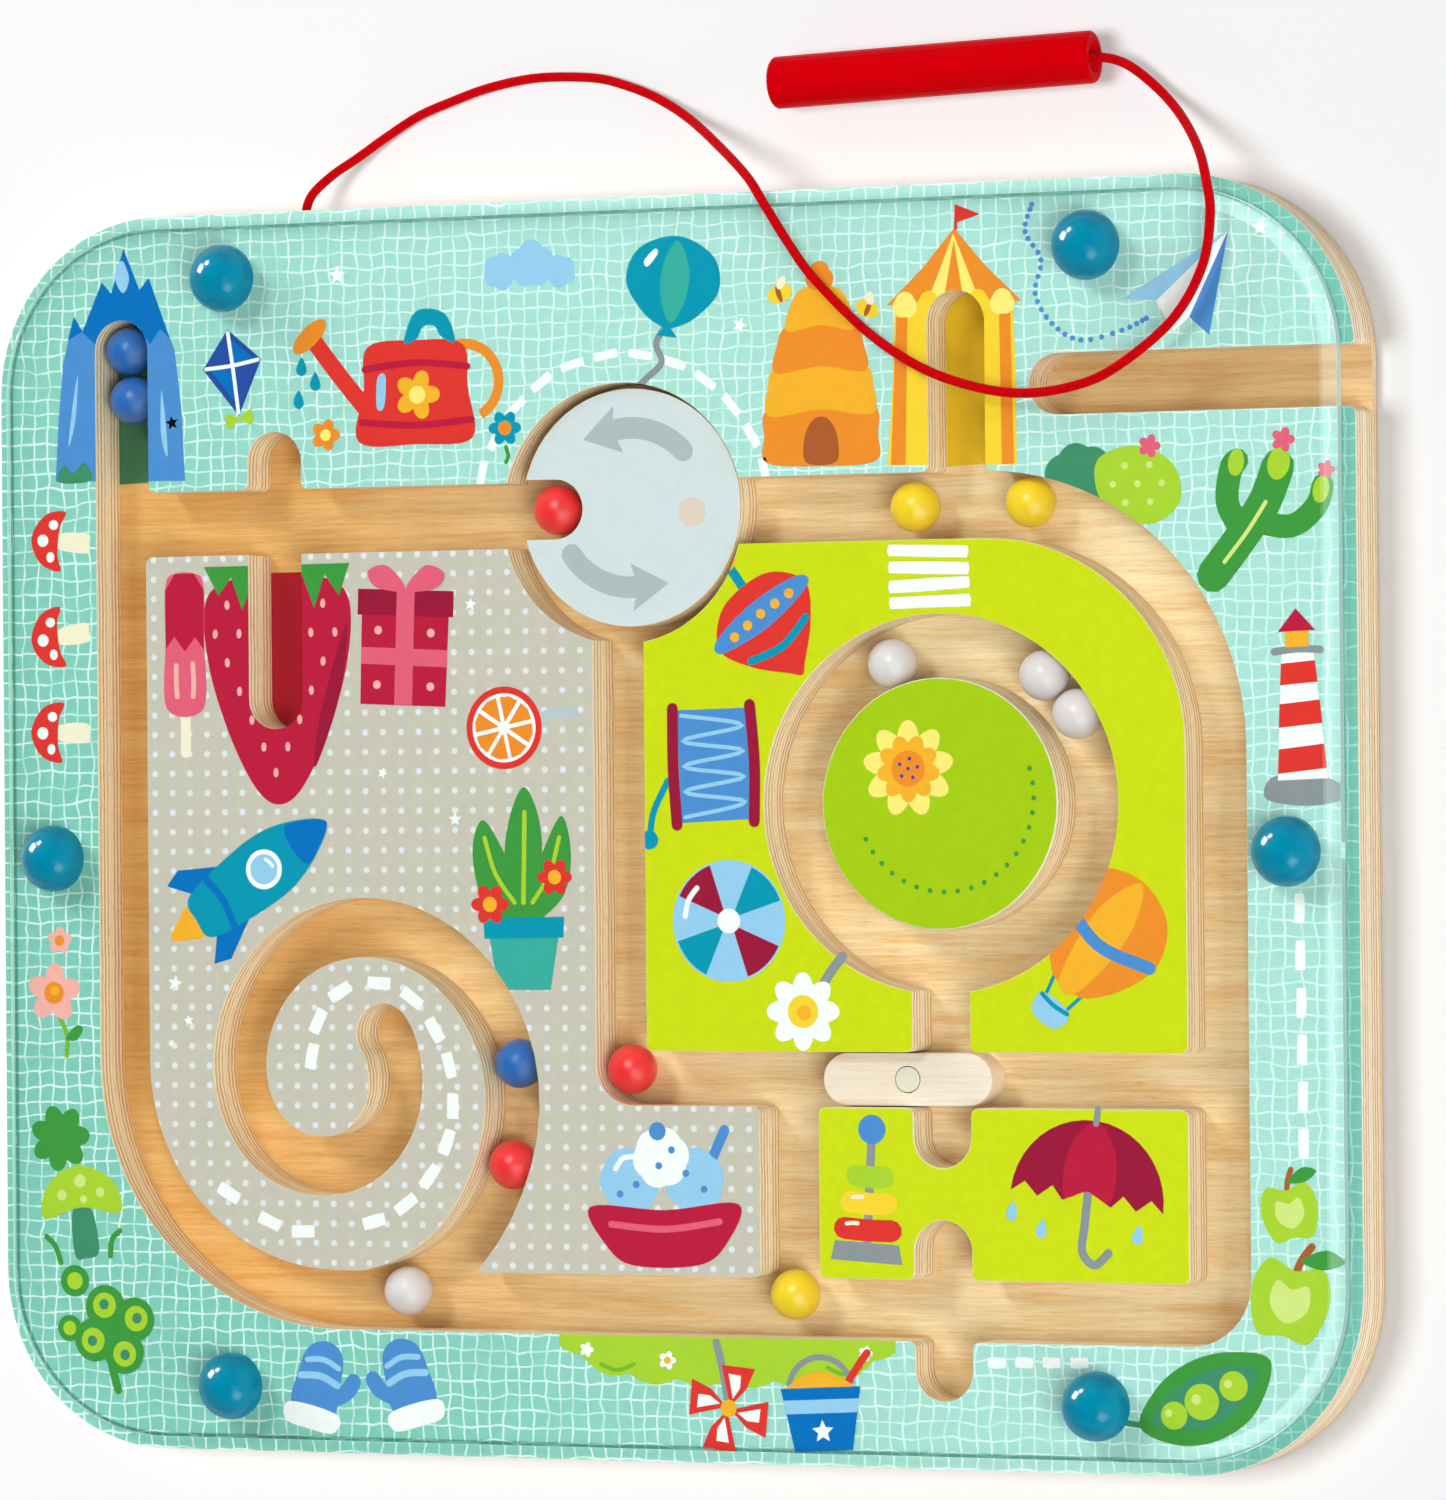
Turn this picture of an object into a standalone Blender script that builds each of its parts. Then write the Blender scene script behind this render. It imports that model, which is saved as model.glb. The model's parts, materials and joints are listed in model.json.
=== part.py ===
"""Magnetic maze board: a plywood board with five glued islands under a clear sheet,
thirteen loose balls, a turntable, a gate bar and a magnet wand on a cord.

Metres, +Z up. The origin is the centre of the board's underside, +X is the right-hand
side of the board and +Y its top edge. Run with: blender --background --python part.py
"""

import math

import bmesh
import bpy
from mathutils import Vector

# Board
BOARD_WIDTH = 0.325
BOARD_DEPTH = 0.279
BOARD_CORNER_RADIUS = 0.040
BASE_THICKNESS = 0.003
COVER_THICKNESS = 0.003
COVER_INSET = 0.003
SIDE_BORDER = 0.0248
TOP_BORDER = 0.0626
BOTTOM_BORDER = 0.0278

# Clearances
LAYER_GAP = 0.0003  # between pieces that lie on or against each other
PLUG_GAP = 0.0002  # round a plug in its hole
CUT_OVERRUN = 0.002  # how far a cutter runs past the face it cuts

# Balls; a lane is one ball wide plus its play
BALL_DIAMETER = 0.011
BALL_HEADROOM = 0.0006
BALL_STAGGER = 0.0005
LEFT_LANE_PLAY = 0.0016
TOP_LANE_PLAY = 0.0036
RIGHT_LANE_PLAY = 0.0028
BOTTOM_LANE_PLAY = 0.0023
MIDDLE_LANE_PLAY = 0.0013
GATE_LANE_PLAY = 0.0011
DROP_LANE_PLAY = 0.0030
RING_LANE_PLAY = 0.0029
SPIRAL_LANE_PLAY = 0.0023
BAY_PLAY = 0.0024

# Bends and bays
BEND_RADIUS = 0.060
UPPER_BEND_START = 86.0  # in degrees: the bend starts just right of the second garage
INNER_CORNER_RADIUS = 0.014
LOBE_FILLET_RADIUS = 0.009
EDGE_RADIUS = 0.0016
GARAGE_LENGTH = 0.0393
BAY_DEPTH = 0.013

# Where the islands and bays lie, as shares of the cavity in the frame
GREY_WIDTH_SHARE = 0.4012
LOBE_REACH_SHARE = 0.1416
LOWER_HEIGHT_SHARE = 0.1978
FIRST_BAY_SHARE = 0.1638
SECOND_GARAGE_SHARE = 0.7616

# The ring lane, as shares of the upper green island
RING_X_SHARE = 0.5518
RING_Y_SHARE = 0.4845
RING_WIDTH_SHARE = 0.3270  # its radius is the lesser of these two shares
RING_HEIGHT_SHARE = 0.3708

# The spiral lane: its middle line, read every SPIRAL_STEP degrees. A radius share of 1 is
# SPIRAL_WIDTH_SHARE of the grey island's width across, SPIRAL_HEIGHT_SHARE of its height up.
SPIRAL_START = -90.0
SPIRAL_STEP = 29.0
SPIRAL_X_SHARE = 0.4400
SPIRAL_Y_SHARE = 0.2730
SPIRAL_WIDTH_SHARE = 0.5430
SPIRAL_HEIGHT_SHARE = 0.3734
SPIRAL_RADIUS_SHARES = (
    0.850, 0.811, 0.740, 0.690, 0.638, 0.594, 0.550, 0.505, 0.462,
    0.436, 0.422, 0.396, 0.352, 0.300, 0.252, 0.220, 0.212, 0.225,
)
SPIRAL_POINTS_PER_STEP = 4

# Where the loose balls lie: offsets, steps along the spiral, and angles in degrees
RED_2_RISE = 0.0018
YELLOW_1_BACK = 0.0120
YELLOW_2_ANGLE = 80.2
YELLOW_3_DROP = 0.0040
RED_3_STEP = 2.16
BLUE_3_STEP = 3.22
SPIRAL_BEND_STEPS = (1.7, 2.7, 3.7)
SILVER_1_ANGLE = 112.9
SILVER_2_ANGLE = 51.0
SILVER_4_ANGLE = -74.7

# Turntable
TURNTABLE_DIAMETER = 0.0526
TURNTABLE_THICKNESS = 0.010
TURNTABLE_PLAY = 0.0026
TURNTABLE_LEAN_SHARE = 0.77  # how much of its play it has moved aside
TURNTABLE_LEAN_ANGLE = 40.0
WELL_OFFSET = 0.0012
NOTCH_DEPTH = 0.0146
NOTCH_PLAY = 0.0023
PLUG_DIAMETER = 0.0056
PLUG_LENGTH = 0.006
TURNTABLE_PLUG_SHARE = 0.56
TURNTABLE_PLUG_ANGLE = -5.0

# Gate bar
GATE_LENGTH = 0.0395
GATE_THICKNESS = 0.008
GATE_PLAY = 0.0006
GATE_OFFSET = 0.0094

# Caps and the screws that hold the board together
CAP_DIAMETER = 0.0152
CAP_HEIGHT = 0.0080
CAP_FOOT_RADIUS = 0.0004
CAP_EDGE_INSET = 0.0149
CAP_ROW_SHARE = 0.637
SIDE_CAP_DROP_SHARE = 0.0416
SCREW_HEAD_DIAMETER = 0.0058
SCREW_SHANK_DIAMETER = 0.003
SCREW_HEAD_RECESS = 0.0003
SCREW_GRIP = 0.0050  # length that runs up into the cap
SCREW_HOLE_GAP = 0.00025
SCREW_POINT_LENGTH = 0.0015
CROSS_DEPTH = 0.0011
CROSS_LENGTH = 0.0030
CROSS_WIDTH = 0.0007

# Wand
WAND_DIAMETER = 0.0116
WAND_LENGTH = 0.075
WAND_EDGE_RADIUS = 0.0010
WAND_EDGE_ANGLES = (0, 30, 60, 90)
WAND_SLOT_PLAY = 0.0017
WAND_SLOT_WALL = 0.0101  # between the second garage and the slot's inner end
WAND_SLOT_RISE = 0.0183
WAND_STANDOFF = 0.0268  # from the board's top edge to the wand's cord end
WAND_SIDE_SHARE = 0.6215
WAND_TURN = 1.8
WAND_MOUTH_RADIUS = 0.0036
WAND_MOUTH_DEPTH = 0.0020
WAND_BORE_RADIUS = 0.0015
WAND_BORE_DEPTH = 0.0032
MAGNET_DIAMETER = 0.008
MAGNET_LENGTH = 0.005

# Cord
CORD_DIAMETER = 0.0021
CORD_HOLE_GAP = 0.00025
CORD_HOLE_DEPTH = 0.010
CORD_GLUE_LENGTH = 0.008  # how far the cord goes into its hole
CORD_STEP = 0.0052
CORD_SAMPLES = 12
CORD_BEVEL_RESOLUTION = 2
CORD_HOLE_SHARE = 0.5385  # how far left of the middle it is, as a share of the half width
# Between its hole and the wand: shares of the board's half width and half depth, and the
# height as a share of the way up from lying on the table to lying on the cover
CORD_ROUTE_SHARES = (
    (-0.5305, 1.0265, 0.415), (-0.5077, 1.0595, 0.258), (-0.4763, 1.0882, 0.106),
    (-0.4351, 1.1219, 0.014), (-0.3865, 1.1534, 0.000), (-0.3378, 1.1735, 0.000),
    (-0.2886, 1.1907, 0.000), (-0.2400, 1.2014, 0.000), (-0.1914, 1.2057, 0.000),
    (-0.1194, 1.2007, 0.000), (-0.0714, 1.1857, 0.000), (-0.0228, 1.1620, 0.025),
    (0.0283, 1.1269, 0.160), (0.0862, 1.0789, 0.485), (0.1465, 1.0229, 0.866),
    (0.1785, 0.9763, 1.012), (0.2135, 0.9125, 1.003), (0.2505, 0.8552, 0.998),
    (0.3237, 0.7728, 0.998), (0.3963, 0.7161, 0.998), (0.4689, 0.6832, 0.998),
    (0.5415, 0.6681, 0.998), (0.6135, 0.6753, 0.998), (0.6757, 0.7018, 0.998),
    (0.7557, 0.7713, 0.998), (0.7994, 0.8523, 0.998), (0.8117, 0.9319, 1.003),
    (0.8068, 0.9842, 1.003), (0.7871, 1.0344, 0.758), (0.7520, 1.0860, 0.390),
    (0.7151, 1.1297, 0.160), (0.6769, 1.1685, 0.148), (0.6511, 1.1857, 0.220),
)

# Fineness of round shapes
CHORD_ERROR = 0.00005
TURNED_SIDES = 24
SCREW_SIDES = 12
BALL_SIDES = 18
BALL_RINGS = 10
DOME_STEPS = 7
PRISM_SMOOTH_ANGLE = 30.0
TURNED_SMOOTH_ANGLE = 40.0
MERGE_DISTANCE = 0.000003

# Levels
FLOOR = BASE_THICKNESS + LAYER_GAP
PLATE_THICKNESS = BALL_DIAMETER + BALL_HEADROOM
PRINT_LEVEL = FLOOR + PLATE_THICKNESS
COVER_BOTTOM = PRINT_LEVEL + LAYER_GAP
COVER_TOP = COVER_BOTTOM + COVER_THICKNESS
CAP_BOTTOM = COVER_TOP + LAYER_GAP
CORD_HOLE_LEVEL = FLOOR + PLATE_THICKNESS / 2
CORD_ON_TABLE = CORD_DIAMETER / 2
CORD_ON_COVER = COVER_TOP + LAYER_GAP / 2 + CORD_DIAMETER / 2

# Lane widths
BALL_RADIUS = BALL_DIAMETER / 2
LEFT_LANE = BALL_DIAMETER + LEFT_LANE_PLAY
TOP_LANE = BALL_DIAMETER + TOP_LANE_PLAY
RIGHT_LANE = BALL_DIAMETER + RIGHT_LANE_PLAY
BOTTOM_LANE = BALL_DIAMETER + BOTTOM_LANE_PLAY
MIDDLE_LANE = BALL_DIAMETER + MIDDLE_LANE_PLAY
GATE_LANE = BALL_DIAMETER + GATE_LANE_PLAY
DROP_LANE = BALL_DIAMETER + DROP_LANE_PLAY
RING_LANE = BALL_DIAMETER + RING_LANE_PLAY
SPIRAL_LANE = BALL_DIAMETER + SPIRAL_LANE_PLAY
BAY_WIDTH = BALL_DIAMETER + BAY_PLAY
WAND_SLOT_WIDTH = WAND_DIAMETER + WAND_SLOT_PLAY

# The cavity in the frame, and the islands' edges inside it
CAVITY_LEFT = -BOARD_WIDTH / 2 + SIDE_BORDER
CAVITY_RIGHT = BOARD_WIDTH / 2 - SIDE_BORDER
CAVITY_TOP = BOARD_DEPTH / 2 - TOP_BORDER
CAVITY_BOTTOM = -BOARD_DEPTH / 2 + BOTTOM_BORDER
CAVITY_WIDTH = CAVITY_RIGHT - CAVITY_LEFT
CAVITY_HEIGHT = CAVITY_TOP - CAVITY_BOTTOM
ISLAND_TOP = CAVITY_TOP - TOP_LANE
ISLAND_BOTTOM = CAVITY_BOTTOM + BOTTOM_LANE
GREY_LEFT = CAVITY_LEFT + LEFT_LANE
GREY_RIGHT = GREY_LEFT + CAVITY_WIDTH * GREY_WIDTH_SHARE
LOBE_RIGHT = GREY_RIGHT + CAVITY_WIDTH * LOBE_REACH_SHARE
LOWER_TOP = ISLAND_BOTTOM + CAVITY_HEIGHT * LOWER_HEIGHT_SHARE
LOWER_LEFT = LOBE_RIGHT + DROP_LANE
GREEN_LEFT = GREY_RIGHT + MIDDLE_LANE
GREEN_RIGHT = CAVITY_RIGHT - RIGHT_LANE
GREEN_BOTTOM = LOWER_TOP + GATE_LANE
GREEN_WIDTH = GREEN_RIGHT - GREEN_LEFT
GREEN_HEIGHT = ISLAND_TOP - GREEN_BOTTOM
GREY_WIDTH = GREY_RIGHT - GREY_LEFT
GREY_HEIGHT = ISLAND_TOP - ISLAND_BOTTOM
FIRST_BAY_X = CAVITY_LEFT + CAVITY_WIDTH * FIRST_BAY_SHARE
SECOND_GARAGE_X = CAVITY_LEFT + CAVITY_WIDTH * SECOND_GARAGE_SHARE
LEFT_LANE_X = CAVITY_LEFT + LEFT_LANE / 2
MIDDLE_LANE_X = GREY_RIGHT + MIDDLE_LANE / 2
TOP_LANE_Y = CAVITY_TOP - TOP_LANE / 2
GATE_LANE_Y = LOWER_TOP + GATE_LANE / 2

RING_CENTRE = Vector((
    GREEN_LEFT + GREEN_WIDTH * RING_X_SHARE,
    GREEN_BOTTOM + GREEN_HEIGHT * RING_Y_SHARE,
))
RING_RADIUS = min(GREEN_WIDTH * RING_WIDTH_SHARE, GREEN_HEIGHT * RING_HEIGHT_SHARE)
HUB_RADIUS = RING_RADIUS - RING_LANE
WELL_CENTRE = Vector((MIDDLE_LANE_X + WELL_OFFSET, TOP_LANE_Y))
WELL_RADIUS = TURNTABLE_DIAMETER / 2 + TURNTABLE_PLAY
UPPER_BEND = Vector((CAVITY_RIGHT - BEND_RADIUS, CAVITY_TOP - BEND_RADIUS))
LOWER_BEND = Vector((CAVITY_LEFT + BEND_RADIUS, CAVITY_BOTTOM + BEND_RADIUS))
SPIRAL_CENTRE = Vector((
    GREY_LEFT + GREY_WIDTH * SPIRAL_X_SHARE,
    ISLAND_BOTTOM + GREY_HEIGHT * SPIRAL_Y_SHARE,
))
SPIRAL_SPAN = Vector((GREY_WIDTH * SPIRAL_WIDTH_SHARE, GREY_HEIGHT * SPIRAL_HEIGHT_SHARE))
CORD_HOLE_X = -BOARD_WIDTH / 2 * CORD_HOLE_SHARE

# Paints and woods: linear red, green and blue, roughness, metallic
FINISHES = {
    "base_wood": ((0.74, 0.50, 0.29), 0.55, 0.0),
    "teal_print": ((0.26, 0.67, 0.55), 0.50, 0.0),
    "grey_print": ((0.58, 0.54, 0.47), 0.50, 0.0),
    "lime_print": ((0.60, 0.74, 0.02), 0.50, 0.0),
    "green_print": ((0.31, 0.60, 0.01), 0.50, 0.0),
    "pale_blue_paint": ((0.67, 0.77, 0.79), 0.45, 0.0),
    "pale_wood": ((0.93, 0.78, 0.63), 0.50, 0.0),
    "plug_paint": ((0.75, 0.72, 0.60), 0.45, 0.0),
    "steel": ((0.62, 0.60, 0.56), 0.35, 1.0),
    "clear_sheet": ((0.90, 0.97, 0.95), 0.05, 0.0),
    "cap_teal": ((0.01, 0.30, 0.48), 0.15, 0.0),
    "zinc": ((0.60, 0.60, 0.58), 0.35, 1.0),
    "blue_paint": ((0.01, 0.09, 0.36), 0.35, 0.0),
    "red_paint": ((0.72, 0.01, 0.02), 0.35, 0.0),
    "yellow_paint": ((0.75, 0.53, 0.01), 0.35, 0.0),
    "silver_paint": ((0.55, 0.52, 0.54), 0.35, 0.3),
    "wand_red": ((0.68, 0.01, 0.01), 0.15, 0.0),
    "cord_red": ((0.60, 0.01, 0.01), 0.50, 0.0),
}


def clear_scene():
    for thing in list(bpy.data.objects):
        bpy.data.objects.remove(thing)


def finish_material(finish):
    """The Principled material of one paint or wood, made once."""
    if finish in bpy.data.materials:
        return bpy.data.materials[finish]
    colour, roughness, metallic = FINISHES[finish]
    material = bpy.data.materials.new(finish)
    material.use_nodes = True
    shader = material.node_tree.nodes["Principled BSDF"]
    shader.inputs["Base Color"].default_value = (*colour, 1.0)
    shader.inputs["Roughness"].default_value = roughness
    shader.inputs["Metallic"].default_value = metallic
    return material


def polar(angle, radius):
    """The point at an angle in degrees and a radius from the origin."""
    turn = math.radians(angle)
    return Vector((radius * math.cos(turn), radius * math.sin(turn)))


def arc(centre, radius, start, end):
    """Points along an arc between two angles in degrees, close enough to look round."""
    step = math.degrees(2 * math.acos(1 - min(CHORD_ERROR / radius, 1)))
    count = max(2, math.ceil(abs(end - start) / step))
    return [centre + polar(start + (end - start) * k / count, radius) for k in range(count + 1)]


def circle(centre, radius):
    return arc(centre, radius, 0, 360)[:-1]


def rounded(corners):
    """A closed outline from (x, y, radius) corners, each rounded as far as its sides allow."""
    outline = []
    for index, (x, y, radius) in enumerate(corners):
        corner = Vector((x, y))
        before = Vector(corners[index - 1][:2]) - corner
        after = Vector(corners[(index + 1) % len(corners)][:2]) - corner
        if radius == 0:
            outline.append(corner)
            continue
        half_angle = before.angle(after) / 2
        room = min(before.length, after.length)
        reach = min(radius / math.tan(half_angle), room)
        radius = reach * math.tan(half_angle)
        centre = corner + (before.normalized() + after.normalized()).normalized() * (
            radius / math.sin(half_angle)
        )
        first = corner + before.normalized() * reach - centre
        last = corner + after.normalized() * reach - centre
        start = math.degrees(math.atan2(first.y, first.x))
        turn = math.degrees(first.angle_signed(last))
        outline.extend(arc(centre, radius, start, start - turn))
    return outline


def box_corners(left, bottom, right, top, radius):
    return [(left, bottom, radius), (right, bottom, radius), (right, top, radius), (left, top, radius)]


def bay(x, mouth, end, side_first):
    """Corners of a round-ended bay off a straight edge, from one side of its mouth to the other."""
    first = x + side_first * BAY_WIDTH / 2
    last = x - side_first * BAY_WIDTH / 2
    return [
        (first, mouth, EDGE_RADIUS),
        (first, end, BAY_WIDTH / 2),
        (last, end, BAY_WIDTH / 2),
        (last, mouth, EDGE_RADIUS),
    ]


def add_object(name, mesh, finish, place, parent=None):
    """Link an object with its finish at a place, which is relative to its parent."""
    thing = bpy.data.objects.new(name, mesh)
    if finish:
        mesh.materials.append(finish_material(finish))
    thing.location = place
    thing.parent = parent
    bpy.context.collection.objects.link(thing)
    return thing


def add_pivot(name, place):
    pivot = bpy.data.objects.new(name, None)
    pivot.location = place
    bpy.context.collection.objects.link(pivot)
    return pivot


def mesh_from(shape, name, smooth_angle=None):
    bmesh.ops.remove_doubles(shape, verts=shape.verts, dist=MERGE_DISTANCE)
    bmesh.ops.recalc_face_normals(shape, faces=shape.faces)
    mesh = bpy.data.meshes.new(name)
    shape.to_mesh(mesh)
    shape.free()
    if smooth_angle:
        mesh.shade_smooth()
        mesh.set_sharp_from_angle(angle=math.radians(smooth_angle))
    return mesh


def prism_mesh(name, outlines, bottom, top):
    """Outlines in the XY plane, each raised from one level to another."""
    shape = bmesh.new()
    for outline in outlines:
        face = shape.faces.new([shape.verts.new((p.x, p.y, bottom)) for p in outline])
        raised = bmesh.ops.extrude_face_region(shape, geom=[face])["geom"]
        verts = [part for part in raised if isinstance(part, bmesh.types.BMVert)]
        bmesh.ops.translate(shape, verts=verts, vec=(0, 0, top - bottom))
    return mesh_from(shape, name, PRISM_SMOOTH_ANGLE)


def turned_mesh(name, profile, sides):
    """A profile of (radius, height) points, from axis to axis, turned about Z."""
    shape = bmesh.new()
    rings = []
    for radius, height in profile:
        count = 1 if radius == 0 else sides
        ring = [
            shape.verts.new((*polar(360 * k / sides, radius), height)) for k in range(count)
        ]
        rings.append(ring)
    for lower, upper in zip(rings, rings[1:]):
        for k in range(sides):
            follows = (k + 1) % sides
            around = [lower[k % len(lower)], lower[follows % len(lower)]]
            around += [upper[follows % len(upper)], upper[k % len(upper)]]
            corners = list(dict.fromkeys(around))
            if len(corners) > 2:
                shape.faces.new(corners)
    return mesh_from(shape, name, TURNED_SMOOTH_ANGLE)


def add_prism(name, outline, bottom, top, finish, place=(0, 0, 0), parent=None):
    return add_object(name, prism_mesh(name, [outline], bottom, top), finish, place, parent)


def add_cutter(name, mesh, place=(0, 0, 0), parent=None):
    cutter = add_object(name, mesh, None, place, parent)
    cutter.hide_render = True
    cutter.display_type = "WIRE"
    return cutter


def cut(target, *cutters):
    for cutter in cutters:
        boolean = target.modifiers.new(cutter.name, "BOOLEAN")
        boolean.operation = "DIFFERENCE"
        boolean.solver = "EXACT"
        boolean.object = cutter


def through_cutter(name, outlines):
    """A cutter that runs right through the maze layer."""
    return add_cutter(name, prism_mesh(name, outlines, FLOOR - CUT_OVERRUN, PRINT_LEVEL + CUT_OVERRUN))


def cap_places():
    """Where the six caps and their screws stand."""
    row_x = BOARD_WIDTH / 2 * CAP_ROW_SHARE
    row_y = BOARD_DEPTH / 2 - CAP_EDGE_INSET
    side_x = BOARD_WIDTH / 2 - CAP_EDGE_INSET
    side_y = -BOARD_DEPTH / 2 * SIDE_CAP_DROP_SHARE
    return [
        Vector((-row_x, row_y)), Vector((row_x, row_y)),
        Vector((-side_x, side_y)), Vector((side_x, side_y)),
        Vector((-row_x, -row_y)), Vector((row_x, -row_y)),
    ]


def cap_profile():
    """A dome with a blind pilot hole in its flat underside."""
    dome_height = CAP_HEIGHT - CAP_FOOT_RADIUS
    hole_radius = SCREW_SHANK_DIAMETER / 2 + SCREW_HOLE_GAP
    hole_depth = SCREW_GRIP + LAYER_GAP
    profile = [(0, hole_depth), (hole_radius, hole_depth), (hole_radius, 0)]
    profile.append((CAP_DIAMETER / 2 - CAP_FOOT_RADIUS, 0))
    for step in range(DOME_STEPS):
        point = polar(90 * step / DOME_STEPS, 1)
        profile.append((CAP_DIAMETER / 2 * point.x, CAP_FOOT_RADIUS + dome_height * point.y))
    return profile + [(0, CAP_HEIGHT)]


def screw_profile():
    """A countersunk screw, head down, from its slot face to its point."""
    shank = SCREW_SHANK_DIAMETER / 2
    head = SCREW_HEAD_DIAMETER / 2
    tip = CAP_BOTTOM + SCREW_GRIP
    return [
        (0, SCREW_HEAD_RECESS),
        (head, SCREW_HEAD_RECESS),
        (shank, SCREW_HEAD_RECESS + head - shank),
        (shank, tip - SCREW_POINT_LENGTH),
        (0, tip),
    ]


def countersink_profile():
    """The hole under a screw: its head's recess, its cone and the plain bore."""
    shank = SCREW_SHANK_DIAMETER / 2 + SCREW_HOLE_GAP
    head = SCREW_HEAD_DIAMETER / 2 + SCREW_HOLE_GAP
    cone_top = SCREW_HEAD_RECESS + head - shank + LAYER_GAP
    return [
        (0, -CUT_OVERRUN),
        (head, -CUT_OVERRUN),
        (head, SCREW_HEAD_RECESS + LAYER_GAP),
        (shank, cone_top),
        (shank, COVER_TOP + CUT_OVERRUN),
        (0, COVER_TOP + CUT_OVERRUN),
    ]


def add_screw_hole_cutters():
    mesh = turned_mesh("screw_hole", countersink_profile(), SCREW_SIDES)
    return [
        add_cutter(f"screw_hole_{number}", mesh, (*place, 0))
        for number, place in enumerate(cap_places(), 1)
    ]


def add_base_plate(screw_holes):
    outline = rounded(box_corners(
        -BOARD_WIDTH / 2, -BOARD_DEPTH / 2, BOARD_WIDTH / 2, BOARD_DEPTH / 2, BOARD_CORNER_RADIUS
    ))
    plate = add_prism("base_plate", outline, 0, BASE_THICKNESS, "base_wood")
    cut(plate, *screw_holes)


def cavity_outline():
    """The frame's inner edge, clockwise from the first garage, with its garages and bays."""
    garage_end = CAVITY_TOP + GARAGE_LENGTH
    right_bend = arc(UPPER_BEND, BEND_RADIUS, UPPER_BEND_START, 0)
    first_garage_right = CAVITY_LEFT + BAY_WIDTH
    corners = [
        (CAVITY_LEFT, garage_end, BAY_WIDTH / 2),
        (first_garage_right, garage_end, BAY_WIDTH / 2),
        (first_garage_right, CAVITY_TOP, EDGE_RADIUS),
        *bay(FIRST_BAY_X, CAVITY_TOP, CAVITY_TOP + BAY_DEPTH, -1),
        *bay(SECOND_GARAGE_X, CAVITY_TOP, garage_end, -1),
        *[(point.x, point.y, 0) for point in right_bend],
        (CAVITY_RIGHT, CAVITY_BOTTOM, INNER_CORNER_RADIUS),
        *bay(RING_CENTRE.x, CAVITY_BOTTOM, CAVITY_BOTTOM - BAY_DEPTH, 1),
        (CAVITY_LEFT, CAVITY_BOTTOM, BEND_RADIUS),
    ]
    return rounded(corners)


def wand_slot_outline():
    """The slot in the right side that stores the wand, with a slightly flared mouth."""
    middle = CAVITY_TOP + WAND_SLOT_RISE
    bottom = middle - WAND_SLOT_WIDTH / 2
    top = middle + WAND_SLOT_WIDTH / 2
    side = BOARD_WIDTH / 2
    inner = SECOND_GARAGE_X + BAY_WIDTH / 2 + WAND_SLOT_WALL
    outside = side + CUT_OVERRUN
    lower_lip = arc(Vector((side - EDGE_RADIUS, bottom - EDGE_RADIUS)), EDGE_RADIUS, 90, 0)
    upper_lip = arc(Vector((side - EDGE_RADIUS, top + EDGE_RADIUS)), EDGE_RADIUS, 0, -90)
    return rounded([
        (inner, bottom, WAND_SLOT_WIDTH / 2),
        *[(point.x, point.y, 0) for point in lower_lip],
        (outside, bottom - EDGE_RADIUS, 0),
        (outside, top + EDGE_RADIUS, 0),
        *[(point.x, point.y, 0) for point in upper_lip],
        (inner, top, WAND_SLOT_WIDTH / 2),
    ])


def add_cord_hole_cutter():
    """The hole drilled in the board's top edge where the cord is glued in."""
    radius = CORD_DIAMETER / 2 + CORD_HOLE_GAP
    length = CORD_HOLE_DEPTH + CUT_OVERRUN
    profile = [(0, 0), (radius, 0), (radius, length), (0, length)]
    mesh = turned_mesh("cord_hole", profile, SCREW_SIDES)
    place = (CORD_HOLE_X, BOARD_DEPTH / 2 + CUT_OVERRUN, CORD_HOLE_LEVEL)
    cutter = add_cutter("cord_hole", mesh, place)
    cutter.rotation_euler = (math.radians(90), 0, 0)
    return cutter


def add_maze_frame(well, screw_holes):
    outline = rounded(box_corners(
        -BOARD_WIDTH / 2, -BOARD_DEPTH / 2, BOARD_WIDTH / 2, BOARD_DEPTH / 2, BOARD_CORNER_RADIUS
    ))
    frame = add_prism("maze_frame", outline, FLOOR, PRINT_LEVEL, "teal_print")
    cavity = through_cutter("cavity", [cavity_outline()])
    wand_slot = through_cutter("wand_slot", [wand_slot_outline()])
    cut(frame, cavity, well, wand_slot, add_cord_hole_cutter(), *screw_holes)


def spiral_share(step):
    """The spiral middle line's radius share, smooth through the list, at a fractional step."""
    shares = SPIRAL_RADIUS_SHARES
    index = min(int(step), len(shares) - 2)
    part = step - index
    before = shares[max(index - 1, 0)]
    here = shares[index]
    ahead = shares[index + 1]
    beyond = shares[min(index + 2, len(shares) - 1)]
    slope_here = (ahead - before) / 2
    slope_ahead = (beyond - here) / 2
    return (
        here * (2 * part**3 - 3 * part**2 + 1)
        + slope_here * (part**3 - 2 * part**2 + part)
        + ahead * (3 * part**2 - 2 * part**3)
        + slope_ahead * (part**3 - part**2)
    )


def spiral_point(step):
    return SPIRAL_CENTRE + SPIRAL_SPAN * polar(SPIRAL_START + SPIRAL_STEP * step, spiral_share(step))


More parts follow.
